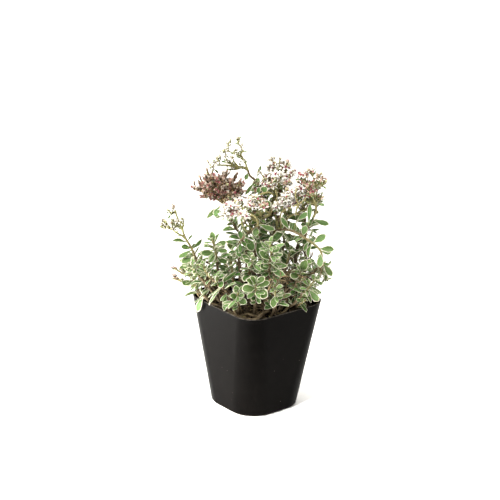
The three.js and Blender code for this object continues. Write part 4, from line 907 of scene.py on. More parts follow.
@functools.lru_cache(maxsize=None)
def body_faces(rows, around):
    """Triangles of a closed body of rows rings, and of the two points that close its ends."""
    faces = []
    for i in range(rows - 1):
        for j in range(around):
            a, b = i * around + j, i * around + (j + 1) % around
            faces += [(a, b, b + around), (a, b + around, a + around)]
    first, last, top = rows * around, rows * around + 1, (rows - 1) * around
    for j in range(around):
        b = (j + 1) % around
        faces += [(first, b, j), (last, top + j, top + b)]
    return np.array(faces)


class Piece:
    """One visible piece: closed bodies with their materials and the values that their points carry."""

    def __init__(self, name, materials):
        self.name, self.materials = name, materials
        self.points, self.faces, self.slots, self.values = [], [], [], {}
        self.count = 0

    def add(self, rings, material=0, ends=None, **values):
        """A closed body through rings, an array of rows by points by 3, as the values may be too."""
        rows, around = rings.shape[:2]
        first, last = ends if ends else (rings[0].mean(0), rings[-1].mean(0))
        points = np.vstack([rings.reshape(-1, 3), first, last])
        faces = body_faces(rows, around)
        a, b, c = (points[faces[:, k]] - points[0] for k in range(3))
        if np.einsum("ij,ij->", a, np.cross(b, c)) < 0:
            faces = faces[:, ::-1]
        for name, value in values.items():
            value = np.broadcast_to(value, (rows, around))
            values[name] = np.concatenate([value.ravel(), [value[0].mean(), value[-1].mean()]])
        self.add_mesh(points, faces, material, **values)

    def add_mesh(self, points, faces, material=0, **values):
        """Any closed mesh of triangles."""
        for name in VALUES:
            value = np.broadcast_to(values.get(name, 0.0), (len(points),))
            self.values.setdefault(name, []).append(value)
        self.points.append(points)
        self.faces.append(faces + self.count)
        self.slots.append(np.full(len(faces), material))
        self.count += len(points)

    def mesh(self, turn=0.0):
        """What was added, in metres, turned about the pot's axis."""
        c, s = math.cos(turn), math.sin(turn)
        points = np.vstack(self.points) @ np.array([[c, s, 0], [-s, c, 0], [0, 0, 1]]) / METRE
        mesh = bpy.data.meshes.new(self.name)
        mesh.from_pydata(points, [], np.vstack(self.faces))
        return mesh

    def make(self, turn, slot, *replaces):
        mesh = self.mesh(turn)
        mesh.polygons.foreach_set("material_index", np.concatenate(self.slots).astype(np.int32))
        mesh.polygons.foreach_set("use_smooth", np.full(len(mesh.polygons), True))
        for name, parts in self.values.items():
            value = np.concatenate(parts).astype(np.float32)
            if value.any():
                mesh.attributes.new(name, "FLOAT", "POINT").data.foreach_set("value", value)
        for material in self.materials:
            mesh.materials.append(material)
        mesh.update()
        piece = new_object(self.name, mesh)
        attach(piece, "root")
        if replaces:
            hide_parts(*replaces)
        print(self.name, len(mesh.polygons), "triangles")
        return piece


# What the points of a mesh carry for its materials: rim is the way in from a leaf's edge in widths of its
# cream band, vein the way out from its middle, under its lower face, young how near it is to the stem's tip,
# tint a draw for each leaf or floret, wood how woody a stem is, scar a leaf scar, up the way from base to
# tip of a floret's parts, and the last marks the pot's rim, whose lighter line is a painted highlight, and
# its scuffed base edge.
VALUES = ("rim", "vein", "under", "young", "tint", "wood", "scar", "up", "worn")


def along_line(points):
    """Unit directions along a line of points."""
    points = np.asarray(points, float)
    ways = np.vstack([points[1:], points[-1:]]) - np.vstack([points[:1], points[:-1]])
    return ways / np.linalg.norm(ways, axis=1)[:, None]


def tube_rings(points, radii, sides, turn=0.0):
    """Rings square to a line of points, carried along it without twisting. radii may differ round a ring."""
    points = np.asarray(points, float)
    ways = along_line(points)
    start = AWAY if abs(ways[0][1]) < 0.9 else UP
    across = np.empty_like(points)
    for i, way in enumerate(ways):
        across[i] = start = square_to(start, way)
    other = np.cross(ways, across)
    angles = turn + 2 * math.pi * np.arange(sides) / sides
    radii = np.asarray(radii, float)
    radii = radii if radii.ndim == 2 else radii[:, None]
    round_way = np.cos(angles)[:, None] * across[:, None] + np.sin(angles)[:, None] * other[:, None]
    return points[:, None] + radii[..., None] * round_way


# Cross-sections of thin blades: how far across from -1 to 1, and 1 on the upper face, 0 on the lower one
LEAF_SECTION = np.array([(-1, .5), (-.84, 1), (-.5, 1), (0, 1), (.5, 1), (.84, 1), (1, .5), (.8, 0), (.4, 0),
                         (0, 0), (-.4, 0), (-.8, 0)])
SMALL_SECTION = np.array([(-1, .5), (-.6, 1), (0, 1), (.6, 1), (1, .5), (.5, 0), (0, 0), (-.5, 0)])
PETAL_SECTION = np.array([(-1, .5), (0, 1), (1, .5), (0, 0)])
SEPAL_SECTION = np.array([(-1, .5), (0, 1), (1, .5)])


def blade_rings(middle, side, normal, half, depth, cup, section):
    """Rings of a thin blade about its middle line. cup lifts its edges, as a share of its half width."""
    across, level = section[:, 0], section[:, 1]
    x = half[:, None] * across
    z = (cup * half)[:, None] * across ** 2 + depth[:, None] * (1 - 0.65 * across ** 2) * (level - 1)
    return middle[:, None] + x[..., None] * side[:, None] + z[..., None] * normal[:, None]


def add_leaf(piece, leaf, draw, material, rows=LEAF_ROWS, section=LEAF_SECTION):
    """A fleshy spoon-shaped leaf with a few blunt teeth near its tip."""
    length, half = leaf["length"], leaf["half"]
    shares = 0.02 + 0.98 * (1 - (1 - np.linspace(0, 1, rows + 1)[:-1]) ** 1.5)
    shape = np.array([blade_shape(s) * (1 - 0.16 * smooth(0.78, 1, s)) for s in shares])
    teeth = (np.cos(2 * math.pi * (shares - 0.97) / 0.13)
             * smooth(0.5, 0.66, shares) * smooth(0.995, 0.93, shares))
    widths = half * shape * (1 + 0.055 * teeth)
    sway, curl, twist = 0.14 * (draw() - 0.5), 0.22 * (draw() - 0.4), 0.9 * (draw() - 0.5)
    wave, phase = 0.1 * draw(), 6.3 * draw()
    sink = leaf["bend"] * length * shares ** 2 + curl * length * smooth(0.55, 1, shares) * shares
    middle = (leaf["root"] + (shares * length)[:, None] * leaf["direction"] - sink[:, None] * leaf["face"]
              + (sway * length * shares ** 2)[:, None] * leaf["side"])
    lean = twist * shares
    side = np.cos(lean)[:, None] * leaf["side"] + np.sin(lean)[:, None] * leaf["face"]
    normal = np.cos(lean)[:, None] * leaf["face"] - np.sin(lean)[:, None] * leaf["side"]
    depth = LEAF_DEPTH * min(1, (length / 13) ** 0.6) * (1 - 0.45 * smooth(0.6, 1, shares))
    depth *= 0.9 + 0.2 * draw()
    cup = (0.12 + 0.45 * draw()) * smooth(0.1, 0.5, shares) + wave * np.sin(9 * shares + phase)
    rings = blade_rings(middle, side, normal, widths, depth, cup, section)
    across = np.abs(section[:, 0])
    inwards = np.minimum(widths[:, None] * (1 - across), 0.9 * length * (1 - shares)[:, None])
    band = half * (0.13 + 0.09 * draw())
    tip = rings[-1].mean(0) + (1.0 - shares[-1]) * length * leaf["direction"]
    piece.add(rings, material, ends=(rings[0].mean(0), tip), rim=inwards / band,
              vein=across, under=(section[:, 1] == 0), young=leaf["young"], tint=draw())


def drift(at):
    """A vector of smooth noise at a point."""
    parts = [noise.noise(at + Vector(shift)) for shift in ((0, 0, 0), (7, 0, 0), (0, 9, 0))]
    return np.array(parts)


# Stems that are brown and woody nearly to their heads
OLD_STEMS = ("stem_brown_head", "stem_top_arching", "stem_right_white_head", "stem_right_mid")


def woody(stem, share):
    """How woody a stem is at a share of its way, from 1 at its foot to 0 at its growing tip."""
    if stem["name"] in OLD_STEMS:
        return float(np.clip(1.6 - 1.1 * share, 0, 1))
    return float(np.clip(1.15 - 1.25 * share ** 0.8, 0, 1))


def add_stem(piece, stem, material):
    """A stem's fine tube, thick and knobbly at its foot and ringed by leaf scars."""
    bottom, curve, length = stem_line(stem)
    seed, pairs, (foot_radius, tip_radius) = stem["seed"], stem["pairs"], stem["radius"]
    shares = np.linspace(0, 1, max(12, round(length / STEM_RING_STEP)) + 1)
    points = np.array([curve.at(s) for s in shares])
    wood = np.array([woody(stem, s) for s in shares])
    nodes = [pair_share(stem, i / (pairs - 1)) for i in range(pairs)]
    nodes += list(np.arange(0.06, stem["start"], 4.2 / length))
    scars = np.array([max(math.exp(-((s - at) * length / 0.6) ** 2) for at in nodes) for s in shares])
    radii = np.array([lerp(0.95 * foot_radius, TIP_SHARE * tip_radius, s ** 0.8) for s in shares])
    ring = np.empty((len(points), STEM_RING_POINTS))
    for i, share in enumerate(shares):
        wander = drift(Vector(points[i]) * 0.16 + Vector((seed, 0, 0)))
        points[i] += wander * 0.7 * wood[i] * smooth(0, 0.06, share)
        for j in range(STEM_RING_POINTS):
            angle = 2 * math.pi * j / STEM_RING_POINTS
            at = Vector((math.cos(angle) * 1.3, math.sin(angle) * 1.3, share * length * 0.45 + seed))
            knobs = 0.2 * wood[i] * noise.noise(at) + 0.05 * noise.noise(at * 3)
            ring[i, j] = radii[i] * (1 + knobs + 0.16 * scars[i] * (0.5 + 0.5 * wood[i]))
    below = [lerp(bottom, points[0], s) for s in (0, 0.4, 0.8)]
    line = np.vstack([below, points])
    ring = np.vstack([np.tile(ring[0], (3, 1)), ring])
    scars = np.concatenate([np.zeros(3), scars])
    wood = np.concatenate([np.ones(3), wood])
    tip = line[-1] + 0.4 * radii[-1] * unit(line[-1] - line[-2])
    piece.add(tube_rings(line, ring, STEM_RING_POINTS), material, ends=(line[0], tip),
              wood=wood[:, None], scar=scars[:, None])


def small_leaf(place, turn, spread, length, young):
    leaf = leaf_frame(place, turn, math.radians(spread), 0)
    leaf.update(length=length, half=length * 0.22, bend=0.05, young=young)
    return leaf


def withered_leaf(place, draw, spread, more_spread, more_length):
    leaf = small_leaf(place, 6.3 * draw(), spread + more_spread * draw(), 3 + more_length * draw(), 0)
    leaf.update(half=leaf["length"] * (0.06 + 0.09 * draw()), bend=0.9 * draw())
    return leaf


def extra_leaves(stem, draw):
    """A rosette of small leaves at a growing tip, and tufts in the axils of some pairs."""
    _, curve, length = stem_line(stem)
    found, tufts = [], []
    for pair in range(0 if "tip_clear" in stem else 3):
        turn = first_turn(stem) + 0.8 + 1.57 * pair
        for side in (0, 1):
            tufts.append((0.982 + 0.009 * pair, turn + math.pi * side, 44 - 14 * pair, 6.2 - 1.5 * pair, 1.0))
    for pair in range(stem["pairs"]):
        rise = pair / (stem["pairs"] - 1)
        share = pair_share(stem, rise) + 1.2 / length
        for side in (0, 1):
            turn = first_turn(stem) + math.pi / 2 * pair + 0.5 + math.pi * side + 0.5 * draw()
            if draw() < 0.4 and share < 0.98:
                tufts.append((share, turn, 48 + 22 * draw(), 4.5 + 3.4 * draw(), 0.5 + 0.5 * rise))
    for share, turn, spread, size, young in tufts:
        leaf = small_leaf(place_on(curve, share), turn, spread, size * (0.85 + 0.3 * draw()), young)
        balls = [(leaf_point(leaf, s, 0, 0), FINE_BALL, s < 0.5) for s in (0.4, 0.7, 1.0)]
        if takes_room(stem["name"], balls, 0.15, -0.5, FINE_MARGIN):
            found.append(leaf)
    return found


def in_reach(point):
    """True if a point of the picture frame stays within the room that the plant takes."""
    return max(abs(c) for c in turned(point)[:2]) < PLANT_REACH


# Gaps in the leaves, through which a bare trunk shows: the two ends of each, and their radius
BARE_WAYS = [
    ((-22, 4, 167), (-22, -26, 177)),
    ((-17, 4, 157), (-17, -26, 167)),
    ((34, 4, 157), (34, -26, 167)),
    ((34, 4, 144), (33, -26, 154)),
    ((34, 4, 131), (33, -26, 142)),
]
BARE_RADIUS = 5.5


def in_bare_way(point):
    for back, front in np.array(BARE_WAYS, float):
        way = front - back
        along = np.clip((point - back) @ way / (way @ way), 0, 1)
        if math.dist(point, back + along * way) < BARE_RADIUS:
            return True
    return False


def fits(owner, leaf):
    """True, and its room taken, if a fine leaf touches nothing else and hides none of the litter in front."""
    end = leaf_point(leaf, 1, 0, 0)
    if not in_reach(end) or (end[1] < -20 and end[2] < 100):
        return False
    if in_bare_way(end) or in_bare_way(leaf_point(leaf, 0.5, 0, 0)):
        return False
    balls = [(leaf_point(leaf, s, x * leaf["half"], 0), FINE_BALL, s < 0.45)
             for s in (0.4, 0.65, 0.9) for x in (-0.6, 0.6)]
    return takes_room(owner, balls, 0.1, -0.6, FINE_MARGIN)


def filling_leaves(stem, draw):
    """Leaves of middling size between the pairs, and lower down on the stems that don't flower."""
    _, curve, length = stem_line(stem)
    slim = 1.22 if "left" in stem["name"] else 1
    start = stem["start"] if "tip_clear" in stem else 0.24
    found = []
    for share in np.arange(start, stem.get("tip_clear", 0.95), 2.7 * slim / length):
        for _ in range(2):
            size = slim * (8.5 + 5.5 * draw()) * (0.7 if share > 0.8 else 1)
            leaf = small_leaf(place_on(curve, share), 6.3 * draw(), 58 + 44 * draw(), size, 0.8 * share)
            leaf.update(half=size * (0.15 + 0.07 * draw()) / slim, bend=0.2 * (draw() - 0.2))
            if fits(stem["name"], leaf):
                found.append(leaf)
    return found


def dry_leaves(stem, draw):
    """Withered leaves that still hang on the bare part of a stem."""
    _, curve, length = stem_line(stem)
    found = []
    for share in np.arange(0.08, min(0.8, stem["start"] + 0.15), 2.2 / length):
        if draw() <= 0.7:
            leaf = withered_leaf(place_on(curve, share), draw, 80, 65, 5)
            if fits(stem["name"], leaf):
                found.append(leaf)
    return found


def make_stems():
    finishes = [stem_finish(), leaf_finish(), dry_leaf_finish()]
    for stem, leaves in leaf_plans:
        draw = seeded_random(stem["seed"] * FINE_SEED)
        piece = Piece(stem["name"].replace("stem_", "leafy_"), finishes)
        add_stem(piece, stem, 0)
        for leaf in leaves:
            add_leaf(piece, leaf, draw, 1)
        for leaf in extra_leaves(stem, draw) + filling_leaves(stem, draw):
            add_leaf(piece, leaf, draw, 1, SMALL_LEAF_ROWS, SMALL_SECTION)
        for leaf in dry_leaves(stem, draw):
            add_leaf(piece, leaf, draw, 2, DRY_LEAF_ROWS, SEPAL_SECTION)
        piece.make(PLANT_TURN, "foliage", stem["name"])


# Flower heads

def floret_line(floret, reaches, rises, angle):
    """A line that leaves a floret's middle at an angle."""
    return np.array([floret_point(floret, r, angle, z) for r, z in zip(reaches, rises)])


def add_stalk(piece, floret, wood):
    start, seat = floret["start"], floret["seat"]
    bend = lerp(start, seat, 0.55) - 0.12 * math.dist(start, seat) * unit(floret["outward"] + 0.01)
    line = Curve([start, bend, seat])
    radii = np.array([0.52, 0.46, 0.55, 0.4]) * (floret["size"] / 5)
    points = [line.at(s) for s in (0, 0.4, 0.93, 1.08)]
    piece.add(tube_rings(points, radii, 4), GREEN, wood=wood)


def add_blade(piece, floret, angle, reaches, rises, widths, depth, cup, material, section, **values):
    """A petal or sepal of a floret along a line of reaches and rises, as shares of its size."""
    size = floret["size"]
    rows = 5 if section is PETAL_SECTION else 3
    shares = np.linspace(0, 1, rows + 1)[:-1]
    reached, risen, widths = (size * np.interp(shares, np.linspace(0, 1, len(reaches)), way)
                              for way in (reaches, rises, widths))
    line = floret_line(floret, reached, risen, angle)
    tip = floret_point(floret, size * reaches[-1], angle, size * rises[-1])
    ways = along_line(np.vstack([line, tip]))[:-1]
    side = cross(floret["facing"], floret_point(floret, 1, angle, 0) - floret["seat"])
    normal = np.cross(ways, side)
    if material != SPENT:
        normal *= np.sign(normal @ floret["facing"] + 1e-9)[:, None]
    rings = blade_rings(line, np.tile(side, (rows, 1)), normal, widths, np.full(rows, depth),
                        np.full(rows, cup), section)
    piece.add(rings, material, ends=(line[0], tip), up=shares[:, None], vein=np.abs(section[:, 0]), **values)


def add_carpels(piece, floret, draw, spread, height, width, material, tint):
    """Five pointed pods round a floret's middle."""
    size = floret["size"]
    shares = np.array([0, 0.35, 0.8])
    for i in range(PETALS):
        angle = petal_angle(floret, i + 0.5)
        lean = spread * (0.7 + 0.6 * draw())
        rise = height * (0.85 + 0.3 * draw())
        line = floret_line(floret, size * (0.05 + lean * shares ** 1.5), size * (0.04 + rise * shares), angle)
        tip = floret_point(floret, size * (0.05 + lean), angle, size * (0.04 + rise))
        radii = size * width * np.array([0.75, 1, 0.36])
        piece.add(tube_rings(line, radii, 3), material, ends=(line[0], tip), up=shares[:, None], tint=tint)


def add_open_floret(piece, floret, draw, wood):
    """A white star: five sepals, five petals, five crimson or green carpels, and stamens."""
    tint = lerp(*floret["tint"], draw())
    for i in range(PETALS):
        angle = petal_angle(floret, i)
        add_blade(piece, floret, angle + math.pi / PETALS, (0.02, 0.16, 0.3, 0.44), (-0.06, 0.0, 0.12, 0.28),
                  (0.09, 0.12, 0.09, 0.0), 0.35, 0.2, GREEN, SEPAL_SECTION, wood=wood)
        turn = angle + 0.16 * (draw() - 0.5)
        lift = 0.12 * (draw() - 0.5)
        reach = 0.94 + 0.12 * draw()
        add_blade(piece, floret, turn, (0.03, 0.16, 0.4, 0.68, 0.9 * reach, reach),
                  (0.02, 0.14, 0.26 + lift, 0.36 + lift, 0.38 + lift, 0.34 + 1.3 * lift),
                  (0.06, 0.11, 0.155, 0.14, 0.07, 0.0), 0.22, 0.35, PETAL, PETAL_SECTION, tint=tint)
    add_carpels(piece, floret, draw, 0.11 + 0.1 * tint, 0.46, 0.06 + 0.04 * tint, CARPEL, tint)
    if "fine" not in floret:
        add_stamens(piece, floret, draw)


def add_stamens(piece, floret, draw):
    size, half = floret["size"], 0.17
    for i in range(PETALS):
        angle = petal_angle(floret, i + 0.3) + 0.2 * (draw() - 0.5)
        lean, rise = 0.3 + 0.16 * draw(), 0.5 + 0.12 * draw()
        line = floret_line(floret, size * np.array([0.06, lean]), size * np.array([0.08, rise]), angle)
        piece.add(tube_rings(line, (0.09, 0.07), 3), PETAL, up=0.6, vein=1.0, tint=0.2)
        way = unit(line[1] - line[0])
        at = line[1] + 0.1 * way
        piece.add(tube_rings([at, at + 0.01 * way], (half, half), 4), ANTHER,
                  ends=(at - 0.16 * way, at + 0.2 * way))


def add_bud(piece, floret, draw, wood):
    """A pointed bud with five low ridges, in its calyx."""
    size, tint = floret["size"], lerp(*floret["tint"], draw())
    shares = np.array([0.0, 0.1, 0.28, 0.52, 0.76, 0.92])
    around = 5 if "fine" in floret else 10
    profile = 0.2 * np.sin(math.pi * (0.08 + 0.92 * shares) ** 0.62) ** 0.85
    angles = 2 * math.pi * np.arange(around) / around
    ridges = 1 + 0.09 * np.cos(5 * angles[None, :] + 1.2 * shares[:, None])
    line = floret_line(floret, 0 * shares, size * (0.02 + 0.82 * shares), 0)
    piece.add(tube_rings(line, size * profile[:, None] * ridges, around, floret["spin"]), BUD,
              ends=(line[0], floret_point(floret, 0, 0, 0.86 * size)), up=shares[:, None], tint=tint)
    for i in range(PETALS):
        angle = petal_angle(floret, i + 0.5)
        add_blade(piece, floret, angle, (0.02, 0.2, 0.26, 0.22), (-0.04, 0.04, 0.24, 0.42),
                  (0.08, 0.1, 0.07, 0.0), 0.3, 0.2, GREEN, SEPAL_SECTION, wood=wood)


def add_spent_floret(piece, floret, draw, wood):
    """Withered petals that clasp five seed pods with red or pale beaks."""
    tint = lerp(*floret["tint"], draw())
    add_carpels(piece, floret, draw, 0.1, 0.84, 0.085, SPENT, tint)
    for i in range(PETALS):
        angle = petal_angle(floret, i) + 0.3 * (draw() - 0.5)
        lean = 0.06 + 0.2 * draw() ** 2
        add_blade(piece, floret, angle, (0.04, 0.16, 0.16 + 0.3 * lean, 0.1 + lean),
                  (0.0, 0.3, 0.6, 0.8 + 0.2 * draw()), (0.07, 0.1, 0.07, 0.0), 0.22, 0.5, SPENT,
                  SEPAL_SECTION, tint=0.6 * tint + 0.4 * draw())
        if i < 3:
            add_blade(piece, floret, angle + 0.6, (0.02, 0.15, 0.24, 0.3), (-0.04, 0.04, 0.2, 0.34),
                      (0.09, 0.1, 0.07, 0.0), 0.28, 0.2, GREEN, SEPAL_SECTION, wood=min(1, wood + 0.3))


GREEN, PETAL, BUD, CARPEL, ANTHER, SPENT, LEAF = range(7)

# What each colour of head has more of than the solids: thin side arms for each arm, and florets for each of
# those and for each floret of the solids. Then the shares of unopened florets that have withered.
SIDE_ARMS = {"fresh": 3, "airy": 1}
SIDE_FLORETS = {"fresh": 3, "spent": 5, "airy": 2}
EXTRA = {"fresh": 1.6, "spent": 1.2, "airy": 0.8}
WITHERED = {"fresh": 0.25, "spent": 0.95, "airy": 0.1}
HEAD_WOOD = {"fresh": 0.4, "spent": 0.9, "airy": 0.1}
TINTS = {"fresh": (0.1, 0.95), "spent": (0.1, 0.95), "airy": (0, 0.5), "head_right_tall": (0.4, 1)}
BRACTS = {"fresh": 0.35, "spent": 0.1, "airy": 0.3}
THICKER = {"fresh": 1.35, "spent": 1.1, "airy": 1.35}
HEAD_SLOTS = {"fresh": "fresh_flowers", "spent": "spent_flowers", "airy": "green_flowers"}


def random_way(draw):
    """Three draws about 0."""
    return np.array([draw() - 0.5, draw() - 0.5, draw() - 0.5])


def more_florets(head, arm, count, draw):
    """Fine florets on an arm, which only give way to what isn't of their own head."""
    found, spent = [], head["colour"] == "spent"
    for _ in range(round(count)):
        jitter = [draw() - 0.5 for _ in range(4)]
        lean = 2.6 * head["splay"] * (draw() - 0.5)
        share = 0.4 + 0.58 * draw()
        if spent:
            share, jitter[1] = 0.3 + 0.68 * draw(), 2.6 * draw() - 0.5
        is_open = draw() < head["open"] and share > 0.6
        floret = grown_floret(head, arm, arm["outward"], share, lean, jitter, is_open, 0.75 + 0.2 * draw())
        if "dome" in head:
            away = floret["start"] - np.array(head["dome"]["centre"])
            facing = unit(away + (0, 0, 7) + 10 * random_way(draw))
            seat = floret["start"] + math.dist(floret["start"], floret["seat"]) * facing
            floret.update(facing=facing, seat=seat, size=(0.85 + 0.4 * draw()) * floret["size"])
        floret["fine"] = True
        if takes_room(head["name"], floret_balls(floret), 0.2, -1.6 if spent else -2.6):
            found.append(floret)
    return found


def side_arms(plan, draw):
    """Thin arms that fork off a head's arms, or that fill a dome."""
    head, found = plan["head"], []
    if "dome" in head:
        for way in dome_arms(dict(head["dome"], arms=36, cover=1.25), draw):
            path = arm_path(plan["base"] + 1.1 * plan["along"], plan["along"], way["way"], 0.55)
            found.append({**path, "is_branch": False})
    for arm in plan["arms"] if "dome" not in head else []:
        for _ in range(SIDE_ARMS[head["colour"]]):
            share = 0.25 + 0.4 * draw()
            at, along = place_on(arm["curve"], share)[:2]
            end = arm["curve"].at(min(1, share + 0.45))
            end = end + 7.5 * np.array([draw() - 0.5, draw() - 0.5, 0.7 * (draw() - 0.6)])
            found.append({**arm_path(at, along, [end], 0.7 * arm["radius"]), "is_branch": True})
    for arm in found:
        arm["outward"] = unit((arm["curve"].at(1) - plan["base"]) * (1, 1, 0))
        arm["florets"] = more_florets(head, arm, SIDE_FLORETS[head["colour"]], draw)
    return found


def add_arm(piece, arm, wood, below=0.0, thicker=1.0):
    shares = np.linspace(0, 1, 9)
    points = [arm["curve"].at(s) for s in shares]
    points[0] = points[0] - below
    radii = lerp(0.95, 0.65, shares) * arm["radius"] * thicker
    radii *= 1 + 0.08 * np.sin(shares * 19 + points[-1][2])
    piece.add(tube_rings(points, radii, 6), GREEN, wood=np.maximum(wood, 0.5 - shares)[:, None])


def add_bracts(piece, arm, draw, chance):
    """Small leaves on the arms of a head."""
    for share in (0.2, 0.4, 0.6, 0.75, 0.9):
        if draw() <= chance:
            turn, spread, length = 6.3 * draw(), 40 + 30 * draw(), 3 + 3.4 * draw()
            leaf = small_leaf(place_on(arm["curve"], share), turn, spread, length, 0.6)
            leaf["half"] *= 0.7
            add_leaf(piece, leaf, draw, LEAF, DRY_LEAF_ROWS, SMALL_SECTION)


def add_floret(piece, floret, head, draw, wood):
    floret["tint"] = TINTS.get(head["name"], TINTS[head["colour"]])
    add_stalk(piece, floret, wood)
    add = add_bud
    if floret["is_open"]:
        add = add_open_floret
    elif draw() < WITHERED[head["colour"]]:
        add = add_spent_floret
    add(piece, floret, draw, wood)


def make_heads(finishes):
    for plan in head_plans:
        head, base, along = plan["head"], plan["base"], plan["along"]
        colour = head["colour"]
        draw = seeded_random(head["seed"] * FINE_SEED)
        piece = Piece(head["name"].replace("head_", "flowers_"), finishes)
        wood = HEAD_WOOD[colour]
        collar = [base + s * along for s in (-1.0, 0, 0.8, 1.6, 2.2)]
        radii = TIP_SHARE * plan["radius"] * np.array([0.9, 1, 1.15, 1.2, 0.9])
        piece.add(tube_rings(collar, radii, 10), GREEN, wood=wood)
        for arm in plan["arms"] + side_arms(plan, draw):
            add_arm(piece, arm, wood, 0.0 if arm["is_branch"] else 1.4 * along, THICKER[colour])
            add_bracts(piece, arm, draw, BRACTS[colour])
            for floret in arm["florets"] + more_florets(head, arm, EXTRA[colour] * len(arm["florets"]), draw):
                floret["outward"] = arm["outward"]
                add_floret(piece, floret, head, draw, wood)
        piece.make(PLANT_TURN, HEAD_SLOTS[colour], head["name"])


# Thickets of old flowering side shoots: the middle and half size of each in the picture frame, how many
# shoots it has, how woody they are, what their florets are like and the share of open ones
THICKETS = [
    ((-2, 9, 193), (8, 5, 9), 16, 0.8, "spent", 0.0),
    ((17, 9, 188), (15, 7, 16), 40, 0.5, "fresh", 0.05),
    ((-8, -10, 176), (17, 6, 9), 34, 0.3, "fresh", 0.08),
    ((12, 0, 167), (16, 7, 10), 26, 0.45, "fresh", 0.08),
    ((44, -2, 186), (14, 6, 14), 30, 0.45, "fresh", 0.08),
    ((-69, -9, 121), (8, 4, 11), 9, 0.6, "spent", 0.0),
]


def stem_spots():
    """Points along the stems, from which side shoots and stalks can grow."""
    return np.array([stem_line(stem)[1].at(s) for stem in STEMS for s in np.linspace(0.3, 0.98, 40)])


def nearest_below(spots, point):
    """The stem point nearest to a point, lower ones first."""
    away = np.linalg.norm(spots - point, axis=1) + 2.5 * np.maximum(0, spots[:, 2] - point[2] + 2)
    return spots[np.argmin(away)]


def make_thickets(finishes):
    """Side shoots that fill the spaces under and between the heads."""
    spots = stem_spots()
    draw = seeded_random(77213)
    for number, (middle, half, shoots, wood, like, opened) in enumerate(THICKETS, 1):
        head = dict(name="side_shoots", colour=like, open=opened, stalk=2.2, floret=4.2, splay=1.0)
        piece = Piece("side_shoots_" + str(number), finishes)
        for _ in range(shoots):
            way = unit(random_way(draw)) * (0.35 + 0.65 * draw())
            end = np.array(middle) + way * half
            start = nearest_below(spots, end)
            side = 0.25 * math.dist(start, end) * np.array([draw() - 0.5, draw() - 0.5, -0.4])
            curve = Curve([start, lerp(start, end, 0.5) + side, end])
            outward = unit((end - start + 0.01) * (1, 1, 0))
            arm = {"curve": curve, "radius": 0.75 + 0.5 * draw(), "outward": outward}
            add_arm(piece, arm, wood + 0.3 * (draw() - 0.5))
            add_bracts(piece, arm, draw, 0.5)
            for floret in more_florets(head, arm, 3, draw):
                floret["outward"] = outward
                add_floret(piece, floret, head, draw, wood)
        piece.make(PLANT_TURN, HEAD_SLOTS[like])


# Olive stalks that rise to the heads, and broad leaves between the heads: a foot and a tip, half the width,
# and how far the leaf leans back. All are placed in the picture frame.
OLIVE_STALKS = [
    [(2, -13, 169), (-7, -13, 175), (-15, -13, 177), (-23, -13, 178)],
    [(31, -9, 177), (33, -9, 186), (38, -9, 190), (41, -9, 199)],
    [(18, -9, 177), (26, -9, 183), (33, -9, 186)],
    [(33, -9, 186), (30, -9, 193), (31, -9, 200)],
    [(9, -3, 174), (12, -3, 183), (15, -3, 190), (13, -3, 196)],
    [(-10, -3, 181), (-2, -3, 190), (7, -3, 194), (12, -3, 191)],
    [(9, -8, 176), (3, -8, 180), (-1, -8, 186)],
    [(22, -6, 169), (26, -6, 174), (34, -6, 178), (42, -6, 181)],
]
HIGH_LEAVES = [
    ((3, -2, 192), (4, -2, 199), 3.5, 0.1),
    ((6, -14, 182), (7, -14, 190), 3.4, 0.1),
    ((-2, 4, 187), (-1, 4, 196), 1.9, 0.3),
    ((-8, 0, 182), (-2, 0, 189), 1.5, 0.3),
    ((42, -10, 169), (43, -10, 187), 2.2, 0.2),
    ((32, -8, 171), (41, -8, 179), 2.6, 0.4),
    ((-34, -5, 181), (-38, -5, 171), 3.1, 0.2),
    ((46, 4, 184), (56, 4, 181), 1.6, 0.5),
    ((-3, 8, 203), (0, 8, 214), 1.5, 0.3),
]


def make_high_leaves(finishes):
    """Stalks and leaves that can be told apart between the heads."""
    spots = stem_spots()
    draw = seeded_random(50929)
    piece = Piece("high_leaves", finishes)
    for stalk in OLIVE_STALKS:
        start = nearest_below(spots, np.array(stalk[0]))
        arm = {"curve": Curve([start, *stalk]), "radius": 1.05}
        add_arm(piece, arm, 0.3 + 0.3 * draw())
        spots = np.vstack([spots, [arm["curve"].at(s) for s in (0.4, 0.6, 0.8)]])
    for foot, tip, half, lean in HIGH_LEAVES:
        root, end = np.array(foot, float), np.array(tip, float)
        direction = unit(end - root)
        start = nearest_below(spots, root - (0, 0, 2))
        path = Curve([start, lerp(start, root, 0.6) - 0.8 * direction, root + 0.8 * direction])
        line = [path.at(s) for s in np.linspace(0, 1, 7)]
        piece.add(tube_rings(line, np.full(len(line), 0.5), 5), GREEN, wood=0.2)
        face = square_to(np.array([0.15 * (draw() - 0.5), -1, 0.4 + lean]), direction)
        leaf = leaf_axes(root, direction, face, 0)
        leaf.update(length=math.dist(root, end), half=half, bend=0.05, young=0.4)
        add_leaf(piece, leaf, draw, LEAF)
    piece.make(PLANT_TURN, "foliage")


# Pot, soil and litter

def square_ring(height, grow, steps=CORNER_STEPS):
    """A rounded square ring at a height, grown outwards, counter-clockwise from above."""
    half, corner = pot_section(height)
    reach = corner + grow
    points = []
    for quarter, (x, y) in enumerate(CORNERS):
        for step in range(steps + 1):
            angle = math.pi / 2 * (quarter + step / steps)
            points.append((x * (half - corner) + reach * math.cos(angle),
                           y * (half - corner) + reach * math.sin(angle), height))
    return np.array(points)


